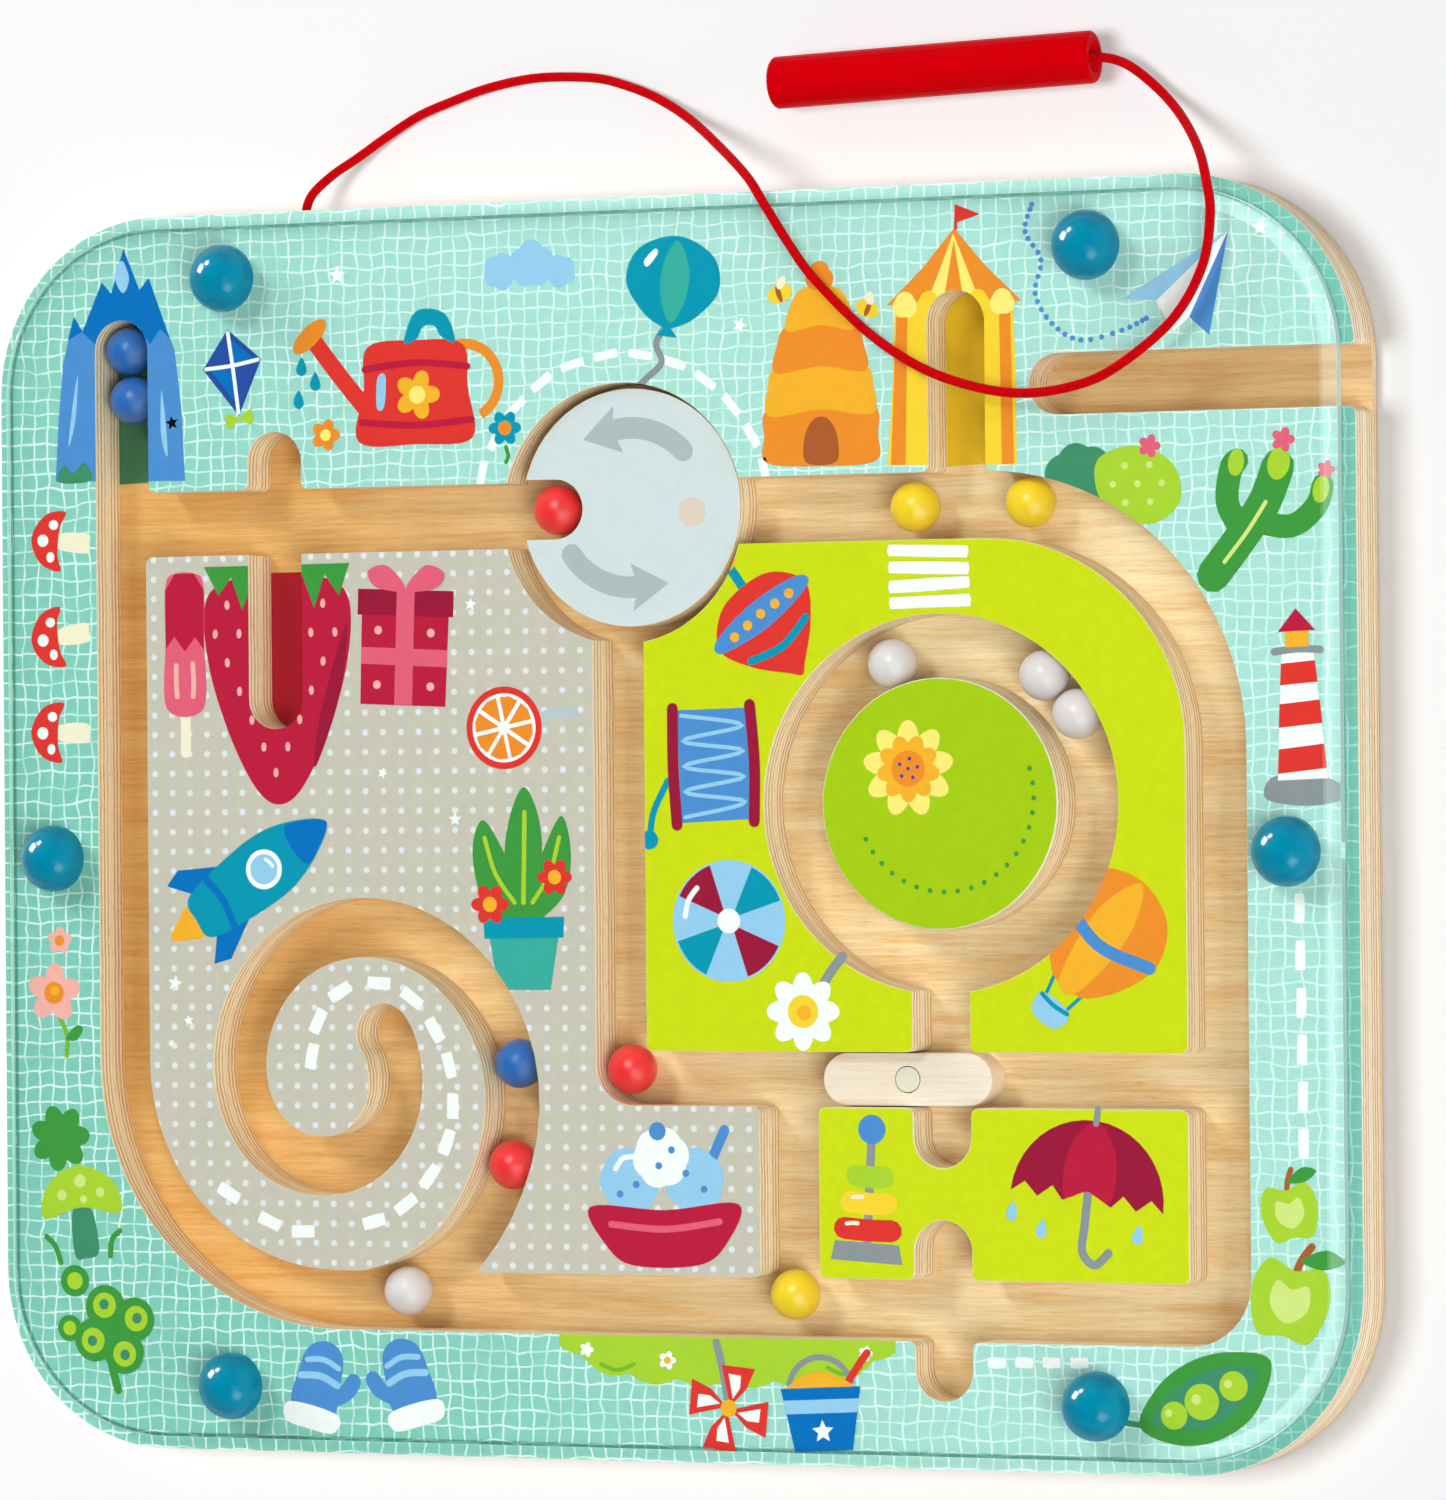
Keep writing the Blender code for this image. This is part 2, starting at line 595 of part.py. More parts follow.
def spiral_lane_outline():
    """Both walls of the spiral lane, with a round inner end."""
    count = (len(SPIRAL_RADIUS_SHARES) - 1) * SPIRAL_POINTS_PER_STEP
    middle = [spiral_point(k / SPIRAL_POINTS_PER_STEP) for k in range(count + 1)]
    outer, inner = [], []
    for k, point in enumerate(middle):
        ahead = middle[min(k + 1, count)] - middle[max(k - 1, 0)]
        side = Vector((ahead.y, -ahead.x)).normalized() * SPIRAL_LANE / 2
        outer.append(point + side)
        inner.append(point - side)
    across = outer[-1] - middle[-1]
    start = math.degrees(math.atan2(across.y, across.x))
    end_cap = arc(middle[-1], SPIRAL_LANE / 2, start, start + 180)[1:-1]
    return outer + end_cap + inner[::-1]


def add_grey_island(well):
    outline = rounded([
        (GREY_LEFT, ISLAND_TOP, EDGE_RADIUS),
        (GREY_RIGHT, ISLAND_TOP, EDGE_RADIUS),
        (GREY_RIGHT, LOWER_TOP, LOBE_FILLET_RADIUS),
        (LOBE_RIGHT, LOWER_TOP, EDGE_RADIUS),
        (LOBE_RIGHT, ISLAND_BOTTOM, EDGE_RADIUS),
        (GREY_LEFT, ISLAND_BOTTOM, BEND_RADIUS - BOTTOM_LANE),
    ])
    island = add_prism("grey_island", outline, FLOOR, PRINT_LEVEL, "grey_print")
    slot_left = FIRST_BAY_X - BAY_WIDTH / 2
    slot_right = FIRST_BAY_X + BAY_WIDTH / 2
    slot_end = ISLAND_TOP - GARAGE_LENGTH
    slot = rounded([
        (slot_left, slot_end, BAY_WIDTH / 2),
        (slot_right, slot_end, BAY_WIDTH / 2),
        (slot_right, ISLAND_TOP + CUT_OVERRUN, 0),
        (slot_left, ISLAND_TOP + CUT_OVERRUN, 0),
    ])
    cut(
        island,
        well,
        through_cutter("grey_slot", [slot]),
        through_cutter("spiral_lane", [spiral_lane_outline()]),
    )


def add_upper_green_island(well):
    outline = rounded([
        (GREEN_LEFT, ISLAND_TOP, EDGE_RADIUS),
        (GREEN_RIGHT, ISLAND_TOP, BEND_RADIUS - TOP_LANE),
        (GREEN_RIGHT, GREEN_BOTTOM, EDGE_RADIUS),
        (RING_CENTRE.x + BAY_WIDTH / 2, GREEN_BOTTOM, EDGE_RADIUS),
        (RING_CENTRE.x + BAY_WIDTH / 2, RING_CENTRE.y, 0),
        (RING_CENTRE.x - BAY_WIDTH / 2, RING_CENTRE.y, 0),
        (RING_CENTRE.x - BAY_WIDTH / 2, GREEN_BOTTOM, EDGE_RADIUS),
        (GREEN_LEFT, GREEN_BOTTOM, EDGE_RADIUS),
    ])
    island = add_prism("upper_green_island", outline, FLOOR, PRINT_LEVEL, "lime_print")
    cut(island, well, through_cutter("ring_hole", [circle(RING_CENTRE, RING_RADIUS)]))
    add_prism("green_hub", circle(RING_CENTRE, HUB_RADIUS), FLOOR, PRINT_LEVEL, "green_print")


def add_lower_green_island():
    outline = rounded([
        (LOWER_LEFT, LOWER_TOP, EDGE_RADIUS),
        *bay(RING_CENTRE.x, LOWER_TOP, LOWER_TOP - BAY_DEPTH, -1),
        (GREEN_RIGHT, LOWER_TOP, EDGE_RADIUS),
        (GREEN_RIGHT, ISLAND_BOTTOM, EDGE_RADIUS),
        *bay(RING_CENTRE.x, ISLAND_BOTTOM, ISLAND_BOTTOM + BAY_DEPTH, 1),
        (LOWER_LEFT, ISLAND_BOTTOM, EDGE_RADIUS),
    ])
    add_prism("lower_green_island", outline, FLOOR, PRINT_LEVEL, "lime_print")


def add_cover_sheet(screw_holes):
    side = BOARD_WIDTH / 2 - COVER_INSET
    end = BOARD_DEPTH / 2 - COVER_INSET
    outline = rounded(box_corners(-side, -end, side, end, BOARD_CORNER_RADIUS - COVER_INSET))
    sheet = add_prism("cover_sheet", outline, COVER_BOTTOM, COVER_TOP, "clear_sheet")
    cut(sheet, *screw_holes)


def add_caps_and_screws():
    cap_mesh = turned_mesh("cap", cap_profile(), TURNED_SIDES)
    screw_mesh = turned_mesh("cap_screw", screw_profile(), SCREW_SIDES)
    half_length = CROSS_LENGTH / 2
    half_width = CROSS_WIDTH / 2
    cross_level = SCREW_HEAD_RECESS + CROSS_DEPTH
    arms = rounded([
        (half_length, half_width, 0), (half_width, half_width, 0), (half_width, half_length, 0),
        (-half_width, half_length, 0), (-half_width, half_width, 0), (-half_length, half_width, 0),
        (-half_length, -half_width, 0), (-half_width, -half_width, 0), (-half_width, -half_length, 0),
        (half_width, -half_length, 0), (half_width, -half_width, 0), (half_length, -half_width, 0),
    ])
    cross_mesh = prism_mesh("cross", [arms], -CUT_OVERRUN, cross_level)
    for number, place in enumerate(cap_places(), 1):
        add_object(f"cap_{number}", cap_mesh, "cap_teal", (*place, CAP_BOTTOM))
        screw = add_object(f"cap_screw_{number}", screw_mesh, "zinc", (*place, 0))
        cut(screw, add_cutter(f"cross_{number}", cross_mesh, (*place, 0)))


def plug_hole_cutter(name, place, top, parent):
    radius = PLUG_DIAMETER / 2 + PLUG_GAP
    bottom = top - PLUG_LENGTH - LAYER_GAP
    mesh = prism_mesh(name, [circle(Vector((0, 0)), radius)], bottom, top + CUT_OVERRUN)
    return add_cutter(name, mesh, place, parent)


def add_turntable():
    """The loose disc in the well, its steel plug and the ball that sits in its notch."""
    lean = TURNTABLE_PLAY * TURNTABLE_LEAN_SHARE
    centre = WELL_CENTRE + polar(TURNTABLE_LEAN_ANGLE, lean)
    radius = TURNTABLE_DIAMETER / 2
    axis = add_pivot("turntable_axis", (*centre, FLOOR))
    disc = add_prism(
        "turntable", circle(Vector((0, 0)), radius), 0, TURNTABLE_THICKNESS, "pale_blue_paint",
        parent=axis,
    )
    notch_width = BALL_DIAMETER + NOTCH_PLAY
    notch_end = -radius + NOTCH_DEPTH
    notch = rounded([
        (notch_end, -notch_width / 2, notch_width / 2),
        (notch_end, notch_width / 2, notch_width / 2),
        (-radius - CUT_OVERRUN, notch_width / 2, 0),
        (-radius - CUT_OVERRUN, -notch_width / 2, 0),
    ])
    notch_mesh = prism_mesh("notch", [notch], -CUT_OVERRUN, TURNTABLE_THICKNESS + CUT_OVERRUN)
    plug_place = (*polar(TURNTABLE_PLUG_ANGLE, radius * TURNTABLE_PLUG_SHARE), 0)
    cut(
        disc,
        add_cutter("notch", notch_mesh, parent=axis),
        plug_hole_cutter("turntable_plug_hole", plug_place, TURNTABLE_THICKNESS, axis),
    )
    add_prism(
        "turntable_plug", circle(Vector((0, 0)), PLUG_DIAMETER / 2),
        TURNTABLE_THICKNESS - PLUG_LENGTH, TURNTABLE_THICKNESS, "plug_paint", plug_place, axis,
    )
    ball_x = notch_end - notch_width / 2 - NOTCH_PLAY / 2
    add_ball("red_ball_1", "red_paint", Vector((ball_x, 0)), axis)
    print("turntable axis", tuple(axis.location))


def add_gate_bar():
    """The round-ended bar that slides in the gate lane, with a steel plug in its middle."""
    width = GATE_LANE - GATE_PLAY
    half = GATE_LENGTH / 2
    centre = (RING_CENTRE.x - GATE_OFFSET, GATE_LANE_Y, FLOOR)
    slider = add_pivot("gate_slider", centre)
    outline = rounded(box_corners(-half, -width / 2, half, width / 2, width / 2))
    bar = add_prism("gate_bar", outline, 0, GATE_THICKNESS, "pale_wood", parent=slider)
    cut(bar, plug_hole_cutter("gate_plug_hole", (0, 0, 0), GATE_THICKNESS, slider))
    add_prism(
        "gate_plug", circle(Vector((0, 0)), PLUG_DIAMETER / 2),
        GATE_THICKNESS - PLUG_LENGTH, GATE_THICKNESS, "plug_paint", parent=slider,
    )
    print("gate centre", centre)


def add_ball(name, finish, place, parent=None):
    """A ball resting on the floor; its place is relative to its parent's pivot."""
    shape = bmesh.new()
    bmesh.ops.create_uvsphere(
        shape, u_segments=BALL_SIDES, v_segments=BALL_RINGS, radius=BALL_RADIUS
    )
    mesh = mesh_from(shape, name)
    mesh.shade_smooth()
    level = BALL_RADIUS if parent else FLOOR + BALL_RADIUS
    ball = add_object(name, mesh, finish, (*place, level), parent)
    world = Vector(ball.location) + (Vector(parent.location) if parent else Vector((0, 0, 0)))
    print(name, tuple(round(value, 5) for value in world))
    return ball


def touching_angle(radius):
    """The angle between two balls that touch while both lie at this radius."""
    return math.degrees(2 * math.asin((BALL_DIAMETER + LAYER_GAP) / (2 * radius)))


def circle_centre(first, second, third):
    """The centre of the circle through three points."""
    ab = second - first
    ac = third - first
    cross = 2 * (ab.x * ac.y - ab.y * ac.x)
    return first + Vector((
        (ac.y * ab.length_squared - ab.y * ac.length_squared) / cross,
        (ab.x * ac.length_squared - ac.x * ab.length_squared) / cross,
    ))


def add_balls():
    """Twelve balls in the lanes; the thirteenth sits in the turntable."""
    stagger = Vector((BALL_STAGGER, 0))
    garage_ball = Vector((LEFT_LANE_X, CAVITY_TOP + GARAGE_LENGTH - BAY_WIDTH / 2)) - stagger
    drop = math.sqrt((BALL_DIAMETER + LAYER_GAP) ** 2 - (2 * BALL_STAGGER) ** 2)
    add_ball("blue_ball_1", "blue_paint", garage_ball)
    add_ball("blue_ball_2", "blue_paint", garage_ball + 2 * stagger - Vector((0, drop)))

    bend = circle_centre(*[spiral_point(step) for step in SPIRAL_BEND_STEPS])
    spiral_pivot = add_pivot("spiral_bend", (*bend, FLOOR))
    add_ball("blue_ball_3", "blue_paint", spiral_point(BLUE_3_STEP) - bend, spiral_pivot)
    add_ball("red_ball_3", "red_paint", spiral_point(RED_3_STEP) - bend, spiral_pivot)
    print("spiral bend", tuple(bend))

    add_ball("red_ball_2", "red_paint", Vector((MIDDLE_LANE_X, GATE_LANE_Y + RED_2_RISE)))

    add_ball("yellow_ball_1", "yellow_paint", Vector((SECOND_GARAGE_X - YELLOW_1_BACK, TOP_LANE_Y)))
    upper_pivot = add_pivot("upper_bend", (*UPPER_BEND, FLOOR))
    upper_radius = BEND_RADIUS - BALL_RADIUS - 2 * LAYER_GAP
    add_ball("yellow_ball_2", "yellow_paint", polar(YELLOW_2_ANGLE, upper_radius), upper_pivot)
    drop_x = LOBE_RIGHT + BALL_RADIUS + LAYER_GAP
    add_ball("yellow_ball_3", "yellow_paint", Vector((drop_x, ISLAND_BOTTOM - YELLOW_3_DROP)))

    ring_pivot = add_pivot("ring_axis", (*RING_CENTRE, FLOOR))
    inner_radius = HUB_RADIUS + BALL_RADIUS + LAYER_GAP
    outer_radius = RING_RADIUS - BALL_RADIUS - LAYER_GAP
    silver_3_angle = SILVER_2_ANGLE - touching_angle(outer_radius)
    add_ball("silver_ball_1", "silver_paint", polar(SILVER_1_ANGLE, inner_radius), ring_pivot)
    add_ball("silver_ball_2", "silver_paint", polar(SILVER_2_ANGLE, outer_radius), ring_pivot)
    add_ball("silver_ball_3", "silver_paint", polar(silver_3_angle, outer_radius), ring_pivot)
    lower_pivot = add_pivot("lower_bend", (*LOWER_BEND, FLOOR))
    lower_radius = BEND_RADIUS - BOTTOM_LANE / 2
    add_ball("silver_ball_4", "silver_paint", polar(SILVER_4_ANGLE, lower_radius), lower_pivot)


def wand_profile():
    """The dowel from its magnet end to its funnelled cord end, along its own axis."""
    radius = WAND_DIAMETER / 2
    hole = MAGNET_DIAMETER / 2 + PLUG_GAP
    hole_depth = MAGNET_LENGTH + LAYER_GAP
    rounding = [polar(angle, WAND_EDGE_RADIUS) for angle in WAND_EDGE_ANGLES]
    near = [(radius - WAND_EDGE_RADIUS + p.y, WAND_EDGE_RADIUS - p.x) for p in rounding]
    far = [(r, WAND_LENGTH - z) for r, z in reversed(near)]
    return [
        (0, hole_depth),
        (hole, hole_depth),
        (hole, 0),
        *near,
        *far,
        (WAND_MOUTH_RADIUS, WAND_LENGTH),
        (WAND_BORE_RADIUS, WAND_LENGTH - WAND_MOUTH_DEPTH),
        (WAND_BORE_RADIUS, WAND_LENGTH - WAND_BORE_DEPTH),
        (0, WAND_LENGTH - WAND_BORE_DEPTH),
    ]


def wand_direction():
    """From the wand's magnet end to its cord end."""
    return Vector((*polar(WAND_TURN, 1), 0))


def wand_end():
    """The middle of the wand's cord end."""
    return Vector((
        BOARD_WIDTH / 2 * WAND_SIDE_SHARE, BOARD_DEPTH / 2 + WAND_STANDOFF, WAND_DIAMETER / 2
    ))


def add_wand():
    """The wand on the table above the board, turned a little, with its magnet in the tip."""
    along = wand_direction()
    pivot = add_pivot("wand_pivot", wand_end() - along * WAND_MOUTH_DEPTH)
    wand_mesh = turned_mesh("wand", wand_profile(), TURNED_SIDES)
    wand = add_object("wand", wand_mesh, "wand_red", -along * (WAND_LENGTH - WAND_MOUTH_DEPTH), pivot)
    wand.rotation_euler = (0, math.radians(90), math.radians(WAND_TURN))
    magnet_profile = [
        (0, 0), (MAGNET_DIAMETER / 2, 0), (MAGNET_DIAMETER / 2, MAGNET_LENGTH), (0, MAGNET_LENGTH)
    ]
    magnet_mesh = turned_mesh("wand_magnet", magnet_profile, TURNED_SIDES)
    magnet = add_object("wand_magnet", magnet_mesh, "steel", wand.location, pivot)
    magnet.rotation_euler = wand.rotation_euler
    print("wand pivot", tuple(pivot.location))


def smooth_route(points, step):
    """Points an even step apart along a smooth curve through the given points."""
    fine = []
    for index in range(len(points) - 1):
        before = points[max(index - 1, 0)]
        here = points[index]
        ahead = points[index + 1]
        beyond = points[min(index + 2, len(points) - 1)]
        for part in (k / CORD_SAMPLES for k in range(CORD_SAMPLES)):
            fine.append(0.5 * (
                2 * here
                + (ahead - before) * part
                + (2 * before - 5 * here + 4 * ahead - beyond) * part**2
                + (3 * here - before - 3 * ahead + beyond) * part**3
            ))
    fine.append(points[-1])
    lengths = [0.0]
    for first, second in zip(fine, fine[1:]):
        lengths.append(lengths[-1] + (second - first).length)
    count = round(lengths[-1] / step)
    route, index = [], 0
    for k in range(count + 1):
        target = lengths[-1] * k / count
        while index < len(fine) - 2 and lengths[index + 1] < target:
            index += 1
        part = (target - lengths[index]) / (lengths[index + 1] - lengths[index])
        route.append(fine[index].lerp(fine[index + 1], min(part, 1)))
    print("cord length", round(lengths[-1], 4), "points", len(route))
    return route


def cord_points():
    """The cord's route: out of its hole, over the table and the cover, into the wand."""
    edge = BOARD_DEPTH / 2
    points = [
        Vector((CORD_HOLE_X, edge - CORD_GLUE_LENGTH, CORD_HOLE_LEVEL)),
        Vector((CORD_HOLE_X, edge - CORD_DIAMETER / 2, CORD_HOLE_LEVEL)),
    ]
    for across, up, lift in CORD_ROUTE_SHARES:
        height = CORD_ON_TABLE + (CORD_ON_COVER - CORD_ON_TABLE) * lift
        points.append(Vector((BOARD_WIDTH / 2 * across, edge * up, height)))
    points.append(wand_end())
    points.append(wand_end() - wand_direction() * WAND_MOUTH_DEPTH)
    return points


def add_cord():
    """The cord from the hole in the board's top edge, over the board, to the wand."""
    route = smooth_route(cord_points(), CORD_STEP)
    curve = bpy.data.curves.new("cord", "CURVE")
    curve.dimensions = "3D"
    curve.bevel_depth = CORD_DIAMETER / 2
    curve.bevel_resolution = CORD_BEVEL_RESOLUTION
    curve.use_fill_caps = True
    spline = curve.splines.new("POLY")
    spline.points.add(len(route) - 1)
    for target, point in zip(spline.points, route):
        target.co = (*point, 1)
    curve.materials.append(finish_material("cord_red"))
    cord = bpy.data.objects.new("cord", curve)
    bpy.context.collection.objects.link(cord)


def build():
    clear_scene()
    screw_holes = add_screw_hole_cutters()
    well = through_cutter("well", [circle(WELL_CENTRE, WELL_RADIUS)])
    add_base_plate(screw_holes)
    add_maze_frame(well, screw_holes)
    add_grey_island(well)
    add_upper_green_island(well)
    add_lower_green_island()
    add_cover_sheet(screw_holes)
    add_caps_and_screws()
    add_turntable()
    add_gate_bar()
    add_balls()
    add_wand()
    add_cord()
    print("ring axis", tuple(RING_CENTRE), "bends", tuple(UPPER_BEND), tuple(LOWER_BEND))


build()
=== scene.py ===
import json
import math
import random

import bmesh
import bpy
from mathutils import Matrix, Vector

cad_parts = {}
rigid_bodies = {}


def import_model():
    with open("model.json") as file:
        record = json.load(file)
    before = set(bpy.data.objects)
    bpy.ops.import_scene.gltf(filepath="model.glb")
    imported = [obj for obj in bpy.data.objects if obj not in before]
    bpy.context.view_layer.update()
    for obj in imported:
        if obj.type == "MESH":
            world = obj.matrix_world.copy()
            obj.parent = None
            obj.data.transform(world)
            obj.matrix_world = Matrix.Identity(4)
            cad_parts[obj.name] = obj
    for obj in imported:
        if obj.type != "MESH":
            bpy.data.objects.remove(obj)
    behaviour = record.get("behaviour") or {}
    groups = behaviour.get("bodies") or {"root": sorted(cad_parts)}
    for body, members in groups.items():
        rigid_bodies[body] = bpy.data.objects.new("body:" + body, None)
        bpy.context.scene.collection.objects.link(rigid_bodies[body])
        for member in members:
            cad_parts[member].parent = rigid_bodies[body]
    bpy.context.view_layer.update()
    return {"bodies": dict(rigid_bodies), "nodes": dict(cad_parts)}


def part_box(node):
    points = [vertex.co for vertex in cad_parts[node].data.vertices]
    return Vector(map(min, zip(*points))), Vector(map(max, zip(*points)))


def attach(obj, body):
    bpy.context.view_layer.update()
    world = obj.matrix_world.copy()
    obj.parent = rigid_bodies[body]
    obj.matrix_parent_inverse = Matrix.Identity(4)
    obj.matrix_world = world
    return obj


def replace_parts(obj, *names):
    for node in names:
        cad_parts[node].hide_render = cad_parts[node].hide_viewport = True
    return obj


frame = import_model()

nodes = frame["nodes"]
mm = 0.001
wobble = random.Random(11)
print("frame loaded", len(nodes), "nodes")


# Camera, at the photograph's place
cameraLook = {
    "place": (0.67050, 0.00496, 1.55793),
    "right": (0.92057052, -0.00869997, -0.39047949),
    "up": (0.01084173, 0.99993584, 0.00328099),
    "back": (0.39042590, -0.00725385, 0.92060578),
    "lens": 183.24,
    "near": 0.05,
}


def addCamera(look):
    camera = bpy.data.objects.new("camera", bpy.data.cameras.new("camera"))
    camera.data.lens = look["lens"]
    camera.data.clip_start = look["near"]
    turn = Matrix((look["right"], look["up"], look["back"])).transposed().to_4x4()
    camera.matrix_world = Matrix.Translation(look["place"]) @ turn
    bpy.context.collection.objects.link(camera)
    bpy.context.scene.camera = camera


addCamera(cameraLook)
print("camera set")


# Shader building
def tone(red, green, blue):  # a colour as it reads on screen, 0 to 255, as linear values
    shares = [value / 255 for value in (red, green, blue)]
    linear = [s / 12.92 if s <= 0.04045 else ((s + 0.055) / 1.055) ** 2.4 for s in shares]
    return (*linear, 1.0)


def feed(made, inputs):  # links sockets and sets plain values
    for key, value in inputs.items():
        if isinstance(value, bpy.types.NodeSocket):
            made.id_data.links.new(value, made.inputs[key])
        else:
            made.inputs[key].default_value = value
    return made


def place(tree, kind, inputs=None, **settings):
    made = tree.nodes.new("ShaderNode" + kind)
    for key, value in settings.items():
        setattr(made, key, value)
    return feed(made, inputs or {})


def maths(tree, operation, first, second=0.0, third=0.0):
    return place(tree, "Math", {0: first, 1: second, 2: third}, operation=operation).outputs[0]


def vectors(tree, operation, first, second=(0, 0, 0), output="Vector"):
    return place(tree, "VectorMath", {0: first, 1: second}, operation=operation).outputs[output]


def blended(tree, factor, first, second, kind="MIX"):
    inputs = {0: factor, 6: first, 7: second}
    return place(tree, "Mix", inputs, data_type="RGBA", blend_type=kind).outputs[2]


def ramped(tree, value, low, high, toLow=0.0, toHigh=1.0):
    inputs = {"Value": value, "From Min": low, "From Max": high, "To Min": toLow, "To Max": toHigh}
    return place(tree, "MapRange", inputs, interpolation_type="SMOOTHSTEP").outputs[0]


def noise(tree, vector, scale, detail=3.0, roughness=0.5, output="Fac"):
    inputs = {"Vector": vector, "Scale": scale, "Detail": detail, "Roughness": roughness}
    return place(tree, "TexNoise", inputs).outputs[output]


def objectPoint(tree):
    return place(tree, "TexCoord").outputs["Object"]


def axes(tree, vector=None):
    return place(tree, "SeparateXYZ", {0: vector or objectPoint(tree)}).outputs


def facing(tree):  # 1 where a face looks straight up
    return axes(tree, place(tree, "NewGeometry").outputs["True Normal"])["Z"]


def facesUp(tree, limit=0.95):
    return maths(tree, "GREATER_THAN", facing(tree), limit)


def facesSideways(tree, limit=0.5):
    return maths(tree, "LESS_THAN", maths(tree, "ABSOLUTE", facing(tree)), limit)


def newGroup(name, inputs, outputs):
    group = bpy.data.node_groups.new(name, "ShaderNodeTree")
    for label, value in inputs.items():
        kind = "Float" if isinstance(value, float) else "Color" if len(value) == 4 else "Vector"
        socket = group.interface.new_socket(label, in_out="INPUT", socket_type="NodeSocket" + kind)
        socket.default_value = value
    for label, kind in outputs.items():
        group.interface.new_socket(label, in_out="OUTPUT", socket_type="NodeSocket" + kind)
    return group, group.nodes.new("NodeGroupInput").outputs, group.nodes.new("NodeGroupOutput")


def useGroup(tree, group, inputs=None):
    return place(tree, "Group", inputs, node_tree=group).outputs


def buildWoodGrain():
    tones = {"Pale": tone(236, 206, 166), "Dark": tone(205, 160, 110)}
    inputs = {**tones, "Run": (60.0, 900.0, 500.0), "Patches": 0.3}
    group, given, out = newGroup("Wood Grain", inputs, {"Color": "Color", "Height": "Float"})
    fineWeight, broadWeight, poreWeight, poreRun = 0.45, 0.35, 0.36, (4.0, 3.4, 2.0)
    point = objectPoint(group)
    stretched = vectors(group, "MULTIPLY", point, given["Run"])
    fibres = noise(group, stretched, scale=1.0, detail=6.0, roughness=0.62)
    figure = noise(group, stretched, scale=0.16, detail=3.0, roughness=0.55)
    specks = noise(group, vectors(group, "MULTIPLY", stretched, poreRun), scale=1.0, detail=2.0)
    fine = ramped(group, fibres, low=0.34, high=0.68)
    broad = ramped(group, figure, low=0.35, high=0.66)
    pores = ramped(group, specks, low=0.58, high=0.66)
    share = maths(group, "MULTIPLY_ADD", fine, fineWeight, maths(group, "MULTIPLY", broad, broadWeight))
    patches = maths(group, "SUBTRACT", noise(group, point, scale=26.0, detail=2.0), 0.5)
    spread = maths(group, "MULTIPLY", patches, given["Patches"])
    total = maths(group, "MULTIPLY_ADD", pores, poreWeight, maths(group, "ADD", share, spread))
    feed(out, {"Color": blended(group, total, given["Pale"], given["Dark"]), "Height": fibres})
    return group


def buildPlywoodEdge():
    inputs = {"Pale": tone(255, 246, 218), "Dark": tone(212, 154, 94), "Bottom": 0.0033, "Ply": 0.0008}
    group, given, out = newGroup("Plywood Edge", inputs, {"Color": "Color", "Height": "Float"})
    bend, bandWeight, streakWeight, streakRun = 0.0009, 0.75, 0.42, (420.0, 420.0, 5200.0)
    point = objectPoint(group)
    waves = maths(group, "SUBTRACT", noise(group, point, scale=90.0, detail=2.0), 0.5)
    height = maths(group, "MULTIPLY_ADD", waves, bend, axes(group, point)["Z"])
    level = maths(group, "SUBTRACT", height, given["Bottom"])
    share = maths(group, "DIVIDE", maths(group, "PINGPONG", level, given["Ply"]), given["Ply"])
    layer = maths(group, "FLOOR", maths(group, "DIVIDE", level, maths(group, "MULTIPLY", given["Ply"], 2.0)))
    seed = maths(group, "ADD", layer, 0.5)
    uneven = place(group, "TexWhiteNoise", {1: seed}, noise_dimensions="1D").outputs["Value"]
    strength = maths(group, "MULTIPLY_ADD", uneven, 0.75, 0.25)
    band = maths(group, "MULTIPLY", ramped(group, share, low=0.43, high=0.57), strength)
    streaks = noise(group, vectors(group, "MULTIPLY", point, streakRun), scale=1.0, detail=4.0, roughness=0.6)
    mark = maths(group, "MULTIPLY", ramped(group, streaks, low=0.46, high=0.68), streakWeight)
    total = maths(group, "MINIMUM", maths(group, "MULTIPLY_ADD", band, bandWeight, mark), 1.0)
    feed(out, {"Color": blended(group, total, given["Pale"], given["Dark"]), "Height": streaks})
    return group


def buildRimDistance():  # how far inside (below 0) or outside the board's round-cornered edge a point lies
    inputs = {"Half": (0.1595, 0.1365, 0.0), "Corner": 0.037}
    group, given, out = newGroup("Rim Distance", inputs, {"Distance": "Float"})
    corner = place(group, "CombineXYZ", {0: given["Corner"], 1: given["Corner"], 2: 0.0}).outputs[0]
    inner = vectors(group, "SUBTRACT", given["Half"], corner)
    past = vectors(group, "SUBTRACT", vectors(group, "ABSOLUTE", objectPoint(group)), inner)
    flatPast = vectors(group, "MULTIPLY", past, (1.0, 1.0, 0.0))
    parts = axes(group, flatPast)
    outside = vectors(group, "LENGTH", vectors(group, "MAXIMUM", flatPast), output="Value")
    inside = maths(group, "MINIMUM", maths(group, "MAXIMUM", parts["X"], parts["Y"]), 0.0)
    total = maths(group, "SUBTRACT", maths(group, "ADD", outside, inside), given["Corner"])
    feed(out, {"Distance": total})
    return group


